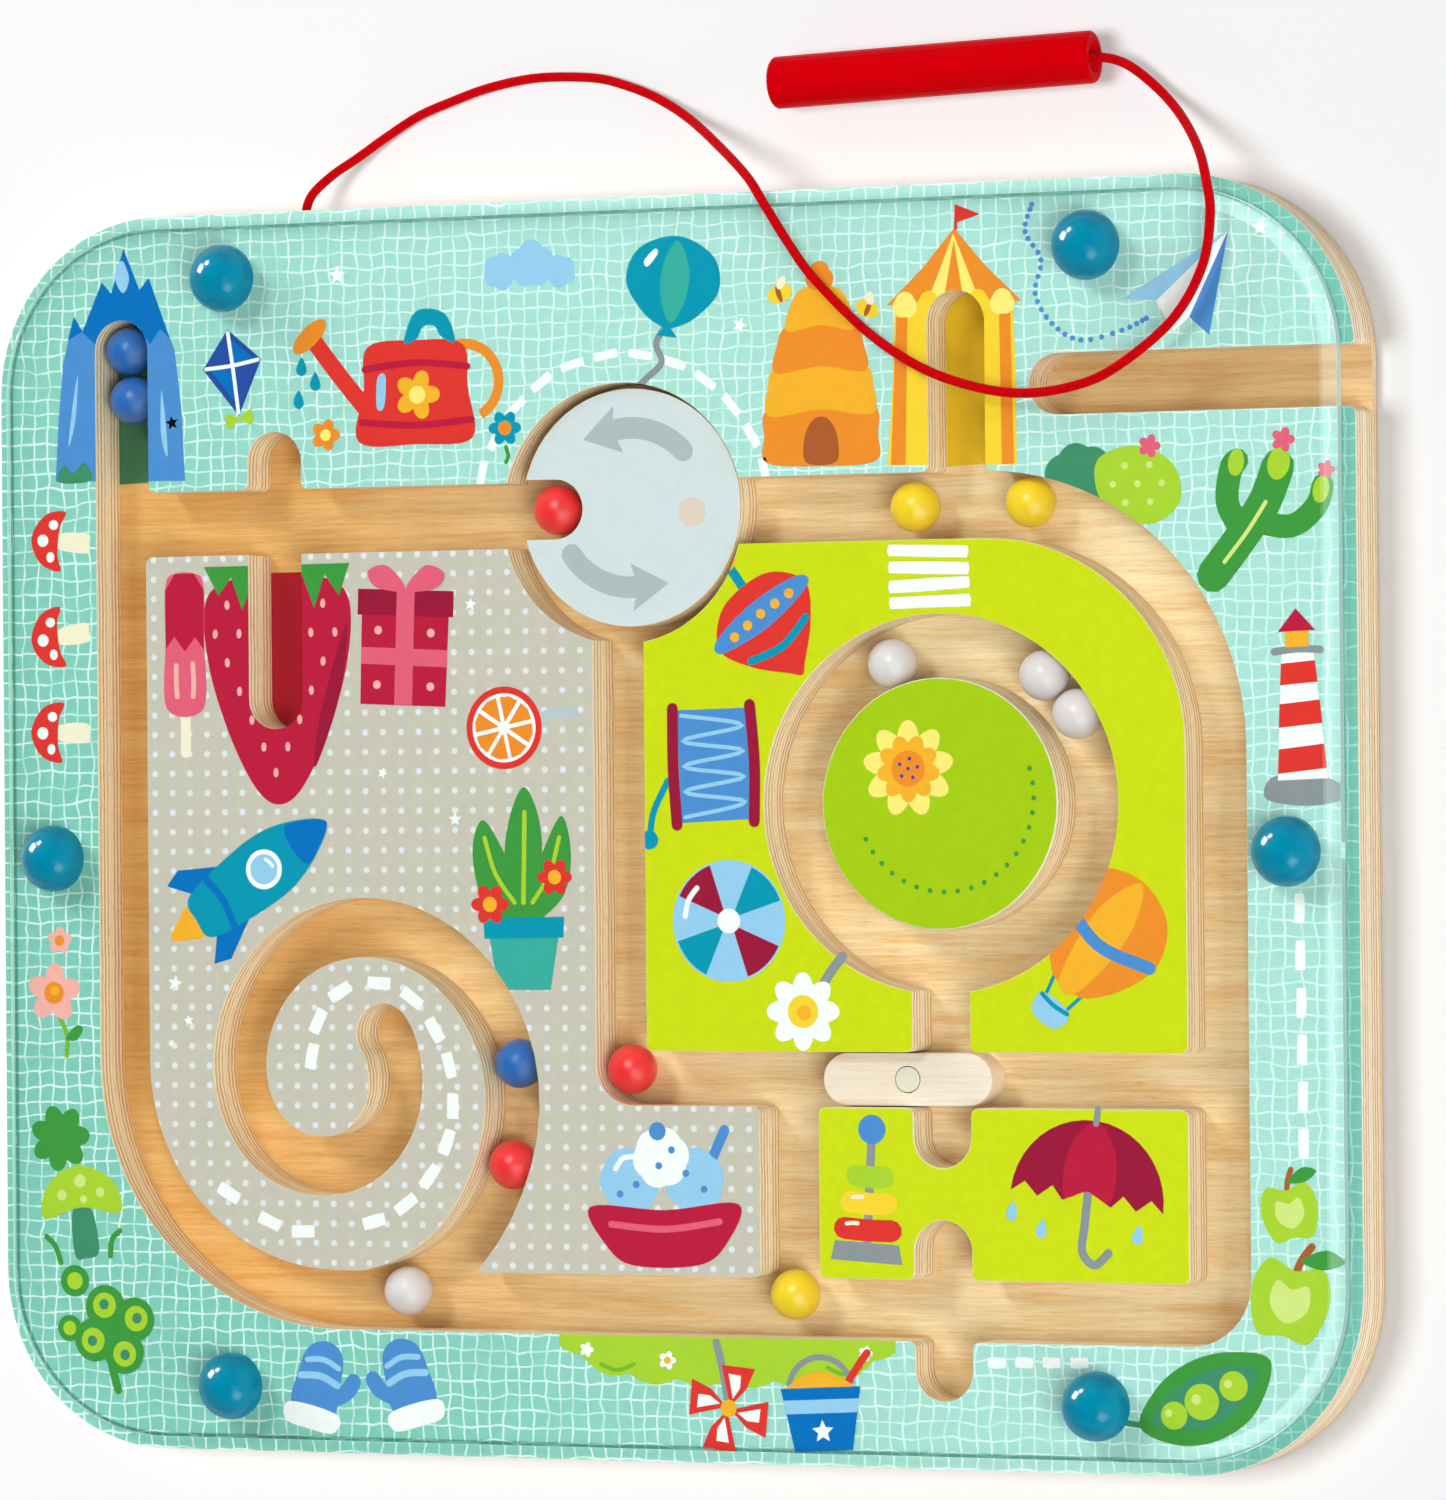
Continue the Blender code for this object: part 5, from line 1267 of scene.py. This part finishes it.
addMotif("bushRow", "maze_frame", bushes, bushShapes, True)

pinwheel = {
    "over": 3, "place": (16.6, -127.2), "turn": 12, "blade": "red", "pale": "white", "hub": "amber",
    "stick": "grey",
}
pinwheelShapes = [("stick", band(1.8, (0, 0), (0.4, 8), (0.2, 14.6)))]
for turn in (0, 90, 180, 270):
    pinwheelShapes.append(("blade", moved(flat((0.4, 0.4), (0.4, 9.6), (8, 7.2), (5, 3.2)), (0, 0), turn)))
    pinwheelShapes.append(("pale", moved(flat((1.4, 1.8), (1.6, 7.4), (4.4, 6.4), (3.6, 3.8)), (0, 0), turn)))
pinwheelShapes.append(("hub", disc(0, 0, 1.9)))
addMotif("pinwheelPrint", "maze_frame", pinwheel, pinwheelShapes, True)

bucket = {
    "over": 3, "place": (38.6, -126.6), "turn": 3, "pail": "deepBlue", "band": "paleBlue", "sand": "amber",
    "handle": "grey", "shovel": "red", "star": "white",
}
bucketShapes = [
    ("handle", ringPart(0, 3.4, 7.6, 1.3, 12, 168)),
    ("shovel", band(1.7, (5.6, 4.2), (9.4, 9.2), (11.4, 11.6))),
    ("sand", soft((-8.2, 3.4), (-4.8, 6.8), (0, 7.8), (5, 6.4), (8.2, 3.4), (0, 2.4))),
    ("pail", flat((-9.4, 4.4), (9.4, 4.4), (6.8, -9.4), (-6.8, -9.4))),
    ("band", flat((-8.9, 1.8), (8.9, 1.8), (8.3, -1.2), (-8.3, -1.2))),
    ("star", star(0, -5.2, 2.6, 1.2)),
]
addMotif("bucketPrint", "maze_frame", bucket, bucketShapes, True)


# Fruit on the right border: apples and a pea pod
apple = {
    "skin": "lime", "core": "paleLime", "leaf": "leaf", "stem": "brown",
    "places": ((146.6, -83, 6.2, 10), (146.2, -102, 8.6, -12)),
}
appleShapes = [
    ("stem", band(0.2, (0, 0.6), (0.1, 1.1), (0.3, 1.5))),
    ("skin", soft(*even((0, 0.82), (0.72, 1), (1.04, 0.2), (0.7, -0.86), (0, -0.82)))),
    ("core", soft(*even((0, 0.36), (0.42, 0.5), (0.5, -0.1), (0, -0.5)))),
    ("leaf", soft((0.1, 1.1), (0.7, 1.5), (1.2, 1.3), (0.7, 1))),
]
for number, (across, up, radius, turn) in enumerate(apple["places"], 1):
    look = {**apple, "place": (across, up), "turn": turn, "size": radius}
    addMotif(f"apple{number}", "maze_frame", look, appleShapes)

peaPod = {
    "place": (127.6, -123.2), "turn": 26, "pod": "leaf", "pea": "lime", "shine": "paleLime", "curl": "forest",
}
peaShapes = [
    ("curl", band(1.3, (-15.8, 1.6), (-19.4, 4.2), (-20.2, 7.4))),
    ("pod", soft((-16.4, 1.4), (-9, 7.4), (0, 9.2), (9, 7.4), (16.8, 1.8), (9.4, -6.4), (0, -8.6), (-9.4, -6.2))),
    ("curl", soft(*even((-13.2, 1.2), (-7, 4.8), (0, 6)), (7, -3.6), (0, -5.2), (-7, -3.6))),
]
for x, radius in ((-8.2, 3), (-1.2, 3.9), (6.8, 3.2)):
    peaShapes += [("pea", disc(x, 0.4, radius)), ("shine", disc(x - 0.9, 1.4, radius * 0.28))]
addMotif("peaPodPrint", "maze_frame", peaPod, peaShapes)
print("border motifs done")


# Strawberry round the red slot, an ice lolly and a present
strawberry = {"place": (-92.2, 58.6), "fruit": "crimson", "shade": "berry", "seed": "blush", "leaf": "leaf"}
seedRows = (-7.5, -14, -20.5, -27, -33.5, -39.6, -45.4)
seedPlaces = [
    (x, y) for row, y in enumerate(seedRows)
    for x in range(-18 + row % 2 * 3, 19, 6) if abs(x) < 16.2 - abs(row - 1) * 2.4
]
strawberryShapes = [
    ("fruit", soft(
        (-17.6, -6), (-17.4, -20), (-12.4, -36), (-5.6, -48.8), (0.4, -52.6), (6.4, -48.4), (13.2, -35),
        (17.8, -19), (17.6, -5.6), (9, -1.2), (-9, -1.4),
    )),
    ("shade", soft((9.4, -44.2), (15.6, -28), (17.6, -12), (14.4, -20), (10.4, -34))),
    *[("seed", oval(x + 0.5 * math.sin(y), y, 0.62, 1.05, 6 * math.sin(x))) for x, y in seedPlaces],
    ("leaf", flat(
        (-18.2, 1.2), (-14.6, -5.4), (-11.4, -1.2), (-8.6, -8.8), (-5.8, -1.6), (6.6, -1.4), (9.4, -8.6), (12, -1),
        (15.6, -5.8), (18.2, 1.4),
    )),
]
addMotif("strawberryPrint", "grey_island", strawberry, strawberryShapes, True)

lolly = {"place": (-115.4, 42.6), "ice": "rose", "dip": "crimson", "bite": "blush", "stick": "cream"}
lollyShapes = [
    ("stick", band(2.5, (0, -15), (0.1, -21), (0, -24.6))),
    ("ice", soft(*even((-4.6, -14.8), (-4.9, 0), (-4.8, 13), (-2.6, 15.8)))),
    ("dip", flat(
        (-4.8, -1.2), (-2.6, 1.6), (0, -1.8), (2.6, 1.4), (4.8, -1.4), (4.9, 12), (2.4, 15.8), (-2.4, 15.8),
        (-4.9, 12),
    )),
    ("bite", band(1.2, (-2.2, -5), (-2.2, -9), (-2, -12))), ("bite", band(1.2, (2, -4.6), (2.2, -9), (2, -12))),
]
addMotif("lollyPrint", "grey_island", lolly, lollyShapes)

present = {
    "place": (-60.4, 43.4), "turn": -2, "box": "crimson", "lid": "berry", "ribbon": "rose", "dot": "blush",
    "bow": "rose",
}
presentShapes = [
    ("box", flat((-10.6, -15.4), (10.4, -15.6), (10.8, 9.8), (-10.8, 10.2))),
    ("lid", flat((-11.8, 4.6), (11.8, 4.4), (11.8, 10.2), (-11.8, 10.4))),
    ("ribbon", flat((-2.2, -15.4), (2.2, -15.4), (2.2, 10.2), (-2.2, 10.2))),
    ("ribbon", flat((-10.6, -6.4), (10.6, -6.8), (10.6, -3), (-10.6, -2.6))),
    ("bow", soft((0, 10.2), (-4.6, 15.6), (-9.4, 14.4), (-7.4, 10.8))),
    ("bow", soft((0, 10.2), (4.6, 15.8), (9.4, 14.2), (7.4, 10.8))),
    *[("dot", disc(x, y, 0.95)) for x, y in ((-6.6, 1.2), (6.4, 0.8), (-6.6, -11), (6.6, -11.2))],
]
addMotif("presentPrint", "grey_island", present, presentShapes)


# Orange slice, rocket and potted plant
orangeCut = {
    "place": (-36.2, 22.6), "turn": 12, "peel": "red", "pith": "white", "flesh": "orange", "leaf": "paleGrey",
}
sliceShapes = [
    ("leaf", band(2.6, (8.8, 0), (13.4, 0.6), (17.2, -0.6))), ("peel", disc(0, 0, 9.2)), ("pith", disc(0, 0, 7.7)),
]
for k in range(8):
    wedge = [spin(45 * k + 4, 6.9), spin(45 * k + 22.5, 7.1), spin(45 * k + 41, 6.9), spin(45 * k + 22.5, 1.3)]
    sliceShapes.append(("flesh", wedge))
addMotif("orangeSlice", "grey_island", orangeCut, sliceShapes)

rocket = {
    "place": (-98.4, -10.2), "turn": -56, "hull": "teal", "nose": "deepBlue", "glass": "paleBlue", "rim": "white",
    "fin": "deepBlue", "flame": "amber",
}
rocketShapes = [
    ("flame", soft((-3.6, -17.4), (-2.4, -21.8), (0, -25.4), (2.6, -21.6), (3.8, -17.4))),
    ("fin", flat((-6.6, -5.4), (-12, -15.2), (-10.6, -19.4), (-5.6, -15.2))),
    ("fin", flat((6.6, -5.4), (12, -15.2), (10.6, -19.4), (5.6, -15.2))),
    ("hull", soft(*even((0, 21.8), (4.8, 15.4), (7.6, 5.8), (7.2, -6.4), (5.2, -16.6), (0, -17.6)))),
    ("nose", soft(*even((0, 22), (3.6, 17), (5, 12.6), (0, 11.4)))),
    ("rim", disc(0, 3, 4.5)), ("glass", disc(0, 3, 3.4)),
    ("nose", band(1.7, (-6.4, -10.4), (0, -9.4), (6.4, -10.4))),
    ("rim", band(0.8, (-1.6, 4.6), (-0.6, 5), (0.6, 5.2))),
]
addMotif("rocketPrint", "grey_island", rocket, rocketShapes, True)

plant = {
    "place": (-31.8, -14.2), "pot": "sea", "rim": "teal", "leaf": "leaf", "light": "lime", "flower": "red",
    "eye": "amber",
}
plantShapes = [
    ("leaf", soft((-1, -7), (-9.6, -2), (-12.4, 9.2), (-9.8, 16.4), (-4.6, 9), (-1.2, 1))),
    ("leaf", soft((1, -7), (9.4, -1), (11.6, 8.4), (9.4, 17.2), (4.6, 9), (1.4, 1))),
    ("leaf", soft((-0.2, -7), (-4.4, 6), (-3.2, 17), (0.4, 23.6), (4, 16), (4.2, 5))),
    ("light", band(1, (-2.2, -2), (-6.8, 4.4), (-9.4, 12.4))),
    ("light", band(1, (2.2, -2), (6.4, 4.4), (8.8, 12.4))),
    ("light", band(1.1, (0, -2), (0.2, 8), (0.4, 18))),
    ("pot", flat((-8.6, -8.4), (8.6, -8.4), (6.4, -21.4), (-6.4, -21.4))),
    ("rim", flat((-9.8, -5.4), (9.8, -5.2), (9.6, -9.8), (-9.6, -10))),
    ("flower", lumpy(-8.2, -2.4, 4.6, 6, 0.35)), ("eye", disc(-8.2, -2.4, 1.7)),
    ("flower", lumpy(7.6, 3.6, 4.2, 6, 0.35)), ("eye", disc(7.6, 3.6, 1.6)),
]
addMotif("plantPrint", "grey_island", plant, plantShapes, True)

sundae = {
    "place": (1.6, -81.4), "turn": 2, "scoop": "paleBlue", "cream": "white", "bowl": "crimson", "shine": "rose",
    "wafer": "skyBlue",
}
sundaeShapes = [
    ("wafer", band(2.4, (8.8, 3), (12.4, 9.6), (15, 14.6))),
    ("scoop", lumpy(-8, 4.2, 7.4, 6, 0.07)), ("scoop", lumpy(7.4, 3.8, 7.2, 6, 0.07, 20)),
    ("cream", lumpy(-0.4, 9, 6.8, 6, 0.08, 10)),
    ("cream", band(1.2, (-11.4, 6.8), (-9.6, 9), (-7, 9.4))), ("wafer", disc(-1, 14.8, 2)),
    *[("wafer", disc(x, y, 0.8)) for x, y in (
        (-6.6, 3.2), (5.4, 5.4), (9.6, 1.8), (-10.6, 1.2), (-1, 7.2), (2.2, 10.6),
    )],
    ("bowl", soft((-17.8, -1.4), (-14.6, -9.8), (-8, -14.6), (8, -14.8), (14.8, -9.8), (17.6, -1.6), (0, -2.6))),
    ("shine", band(1.5, (-13, -5.4), (0, -6.8), (13, -5.4))),
]
addMotif("sundaePrint", "grey_island", sundae, sundaeShapes)

glitter = {"star": "white"}
glitterShapes = [("star", star(x, y, r, r * 0.45, turn=t)) for x, y, r, t in (
    (-118.6, -34.2, 1.9, 80), (-115.2, -42.6, 1.3, 100), (-119.6, -47.8, 1, 60), (-48.4, 2.4, 1.6, 90),
    (-66.2, 12.8, 1.3, 70), (-44.2, 50.2, 1.5, 84),
)]
addMotif("glitterPrint", "grey_island", glitter, glitterShapes)
print("grey island motifs done")


# Toys on the lime islands
spinningTop = {"place": (27, 45.2), "turn": 36, "body": "red", "band": "skyBlue", "trim": "teal", "dot": "amber"}
topShapes = [
    ("trim", band(2.2, (0, 8), (0.1, 12), (0, 15.6))), ("dot", disc(0, 16.4, 2.4)),
    ("body", soft(
        *even((-12.6, 1.4), (-7.6, 7.8), (0, 9.4)), (8.6, -6.2), (2.2, -12.6), (0, -14.6), (-2.2, -12.6),
        (-8.6, -6.2),
    )),
    ("band", soft((-11.8, 3.6), (0, 5.2), (11.8, 3.6), (12.4, 0.4), (0, -1.4), (-12.4, 0.4))),
    ("trim", band(1.8, (-8, -5), (0, -6.8), (8, -5))),
    *[("dot", disc(x, 2 - abs(x) * 0.05, 1.1)) for x in (-8, -4, 0, 4, 8)],
]
addMotif("spinningTop", "upper_green_island", spinningTop, topShapes, True)

drum = {
    "place": (13.2, 13.8), "turn": 92, "shell": "skyBlue", "lace": "paleBlue", "rim": "berry", "stick": "teal",
    "knob": "teal",
}
drumShapes = [
    ("stick", band(1.5, (-3, 10), (-9.4, 13.6), (-14.6, 14.8))), ("knob", disc(-15.8, 15, 2.1)),
    ("shell", flat((-12.2, -9.6), (12.2, -9.6), (12.4, 7.2), (-12.4, 7.2))),
    ("lace", band(
        0.9, (-11.2, 6.2), (-8.4, -8.4), (-5.6, 6.2), (-2.8, -8.4), (0, 6.2), (2.8, -8.4), (5.6, 6.2), (8.4, -8.4),
        (11.2, 6.2),
    )),
    ("rim", band(2.6, (-12.8, 8.2), (0, 8.6), (12.8, 8.2))),
    ("rim", band(2.6, (-12.8, -10.2), (0, -10.8), (12.8, -10.2))),
]
addMotif("drumPrint", "upper_green_island", drum, drumShapes, True)

beachBall = {
    "place": (17.6, -20.4), "turn": 20, "first": "paleBlue", "second": "teal", "third": "berry", "button": "white",
}
ballShapes = [("first", disc(0, 0, 13.4))]
for k, ink in enumerate(("second", "first", "third", "first", "second", "first", "third", "first")):
    edge = [spin(45 * k + 45 * part / 6, 13) for part in range(7)]
    if ink != "first":
        ballShapes.append((ink, [spin(45 * k + 22.5, 1)] + edge))
ballShapes += [("button", disc(0, 0, 2.7)), ("button", band(1.2, (-9.4, 4.6), (-7.4, 7.6), (-4.6, 9.4)))]
addMotif("beachBall", "upper_green_island", beachBall, ballShapes, True)

daisy = {"place": (35, -40.2), "petal": "white", "eye": "yellow", "heart": "amber", "stem": "grey"}
daisyShapes = [
    ("stem", band(2.2, (3.6, 4), (6.6, 8.6), (9.4, 12))),
    ("petal", lumpy(0, 0, 8.6, 8, 0.28)), ("eye", disc(0, 0, 3.6)), ("heart", disc(0.3, -0.3, 1.7)),
]
addMotif("daisyPrint", "upper_green_island", daisy, daisyShapes)

airBalloon = {
    "place": (104.6, -24.4), "turn": -38, "skin": "orange", "stripe": "amber", "panel": "skyBlue",
    "basket": "paleBlue", "rope": "teal",
}
airShapes = [
    ("rope", band(0.8, (-4.2, -11.4), (-3.4, -15), (-2.8, -18))),
    ("rope", band(0.8, (4.2, -11.4), (3.4, -15), (2.8, -18))),
    ("skin", soft(*even((0, 15.4), (9.4, 12), (13.4, 3.6), (10.8, -5.2), (5, -12.4), (0, -13.4)))),
    ("stripe", soft(*even((0, 15), (4.6, 4), (2.6, -12.6)))),
    ("panel", band(2.8, (-12.4, 1.6), (0, -1.6), (12.4, 1.6))),
    ("basket", soft((-3.8, -17.4), (3.8, -17.4), (3.2, -22.2), (-3.2, -22.2))),
    ("rope", band(1, (-3.6, -17.8), (0, -18.2), (3.6, -17.8))),
]
addMotif("airBalloon", "upper_green_island", airBalloon, airShapes, True)

sunflower = {
    "place": (60.2, 12.6), "turn": 10, "petal": "lemon", "inner": "amber", "eye": "orange", "seed": "navy",
    "dots": "leaf", "lane": (7.2, -7.6),
}
sunflowerShapes = [
    ("petal", lumpy(0, 0, 10.6, 9, 0.30)), ("inner", lumpy(0, 0, 7.4, 9, 0.24, 20)), ("eye", disc(0, 0, 3.9)),
    *[("seed", dot) for dot in ringOf(0, 0, 2.2, 2.2, 5, 1.26, 0.42)],
    ("seed", disc(0, 0, 0.42)),
]
lanePoints = moved([spin(angle, 20.6) for angle in range(196, 372, 9)], sunflower["lane"])
sunflowerShapes += [("dots", disc(*point, 0.55)) for point in lanePoints]
addMotif("sunflowerPrint", "green_hub", sunflower, sunflowerShapes, True)

ringTower = {
    "place": (50.2, -80), "turn": -3, "rod": "grey", "base": "grey", "first": "lime", "second": "yellow",
    "third": "red", "knob": "skyBlue", "pale": "cream",
}
towerShapes = [
    ("rod", band(2, (0, -10), (0, 4), (0, 14.4))),
    ("base", flat((-8.4, -14.6), (8.4, -14.8), (7.4, -10.6), (-7.6, -10.4))),
    ("third", band(4.8, (-5.6, -7.6), (0, -7.8), (5.6, -7.6))),
    ("second", band(4.8, (-4.4, -1.8), (0, -2), (4.4, -1.8))),
    ("first", band(4.8, (-3.2, 4), (0, 3.8), (3.2, 4))), ("knob", disc(0, 14.2, 3.2)),
    ("pale", band(0.9, (-5, -6.6), (-3.6, -6.4), (-2.4, -6.4))),
    ("pale", band(0.9, (-3.8, -0.8), (-2.6, -0.6), (-1.6, -0.6))),
]
addMotif("ringTower", "lower_green_island", ringTower, towerShapes)

umbrella = {
    "place": (101, -77.6), "turn": -8, "cloth": "berry", "panel": "crimson", "handle": "grey", "drop": "paleBlue",
}
clothTop = moved([spin(angle, 17.6) for angle in range(0, 181, 9)], (0, -3.4))
umbrellaShapes = [
    ("handle", band(1.9, (0, 2), (0.2, -8), (0.4, -14.2), (3.6, -16.6), (6.4, -13.6))),
    ("cloth", clothTop + flat(
        (-14.6, -1), (-11.4, -3.8), (-8.2, -1), (-5.6, -3.8), (-0.2, -1), (5.6, -3.8), (8.2, -1), (11.4, -3.8),
        (14.6, -1),
    )),
    ("panel", soft(*even((0, 14), (5.4, 7.4), (5.4, -2.8), (0, -1.2)))),
    ("handle", band(1.4, (0, 13.6), (0, 15.6), (0, 16.8))),
    ("drop", soft((-9.4, -8.6), (-8.2, -11.6), (-9.6, -12.8), (-10.8, -11.4))),
    ("drop", soft((-16.6, -5.8), (-15.4, -8.8), (-16.8, -10), (-18, -8.6))),
    ("drop", soft((12.6, -6.6), (13.8, -9.6), (12.4, -10.8), (11.2, -9.4))),
]
addMotif("umbrellaPrint", "lower_green_island", umbrella, umbrellaShapes)
print("lime island motifs done")


# Floor, lamps and world
stageLook = {"colour": (0.785, 0.797, 0.812, 1.0), "glow": 0.33, "size": 24.0, "drop": 0.0002, "roughness": 0.9}
beyondToy = ("floor", "cover_sheet")
lampDistance = 2.6
lampLook = {  # a quiet lamp lights the toy without showing in its gloss, a gleam shows in the gloss alone
    "overCamera": {"angle": -20, "rise": 58, "size": 1.2, "power": 34, "not": beyondToy, "quiet": True},
    "upperKey": {"angle": 126, "rise": 52, "size": 0.6, "power": 23, "not": beyondToy, "quiet": True},
    "floorKey": {"angle": 180, "rise": 72, "size": 1.0, "power": 43, "only": ("floor",), "quiet": True},
    "leftWindow": {"angle": 149, "rise": 20, "size": 0.7, "power": 16, "not": beyondToy, "quiet": True},
    "upperWindow": {"angle": 133, "rise": 22, "size": 0.5, "power": 11, "not": beyondToy, "quiet": True},
    "frontFill": {"angle": -25, "rise": 34, "size": 1.6, "power": 24, "not": beyondToy, "quiet": True},
    "leftGleam": {"angle": 152, "rise": 20, "size": 0.8, "power": 150, "only": ("Dome",), "gleam": True},
    "upperGleam": {"angle": 130, "rise": 26, "size": 0.5, "power": 55, "only": ("Dome",), "gleam": True},
    "frontGleam": {"angle": -44, "rise": 38, "size": 1.2, "power": 24, "only": ("Dome", "Round"), "gleam": True},
    "ballShine": {"angle": 88, "rise": 64, "size": 0.55, "power": 25, "only": ("Round",)},
}
worldLook = {"level": 0.42, "overhead": 0.05, "from": 0.35, "to": 0.85}


def addFloor(look):
    half = look["size"] / 2
    mesh = bpy.data.meshes.new("floor")
    mesh.from_pydata([(-half, -half, 0), (half, -half, 0), (half, half, 0), (-half, half, 0)], [], [(0, 1, 2, 3)])
    floor = bpy.data.objects.new("floor", mesh)
    floor.location.z = -look["drop"]
    bpy.context.collection.objects.link(floor)
    material, tree, shader = newFinish("floorPaper", look["roughness"], 0.0)
    rays = place(tree, "LightPath").outputs
    bent = maths(tree, "MAXIMUM", rays["Is Glossy Ray"], rays["Is Transmission Ray"])
    glow = maths(tree, "MULTIPLY", maths(tree, "MAXIMUM", rays["Is Camera Ray"], bent), look["glow"])
    feed(shader, {"Base Color": look["colour"], "Emission Color": (1, 1, 1, 1), "Emission Strength": glow})
    mesh.materials.append(material)


def lit(name, endings, state):  # the pieces that a lamp lights alone, or leaves out
    chosen = bpy.data.collections.new(name + "Lights")
    for piece in [other for other in bpy.data.objects if other.name.endswith(endings)]:
        chosen.objects.link(piece)
    for member in chosen.collection_objects:
        member.light_linking.link_state = state
    return chosen


def addLamps(looks, distance):
    for name, look in looks.items():
        lamp = bpy.data.objects.new(name, bpy.data.lights.new(name, "AREA"))
        lamp.data.shape = "SQUARE"
        lamp.data.size = look["size"]
        lamp.data.energy = look["power"]
        rise = math.radians(look["rise"])
        direction = Vector((*(spin(look["angle"], 1) * math.cos(rise)), math.sin(rise)))
        lamp.location = direction * distance
        lamp.rotation_euler = direction.to_track_quat("Z", "Y").to_euler()
        bpy.context.collection.objects.link(lamp)
        for key, state in (("not", "EXCLUDE"), ("only", "INCLUDE")):
            if key in look:
                lamp.light_linking.receiver_collection = lit(name, look[key], state)
        lamp.visible_glossy = not look.get("quiet")
        lamp.visible_diffuse = not look.get("gleam")


def addWorld(look):  # paler round the sides than overhead, as a room with a dark ceiling
    world = bpy.data.worlds.new("studio")
    bpy.context.scene.world = world
    world.use_nodes = True
    tree = world.node_tree
    height = axes(tree, place(tree, "TexCoord").outputs["Generated"])["Z"]
    strength = ramped(tree, height, look["from"], look["to"], look["level"], look["overhead"])
    feed(tree.nodes["Background"], {"Color": (1, 1, 1, 1), "Strength": strength})


addFloor(stageLook)
addLamps(lampLook, lampDistance)
addWorld(worldLook)
bpy.context.scene.view_settings.view_transform = "Standard"
print("floor and lamps done")
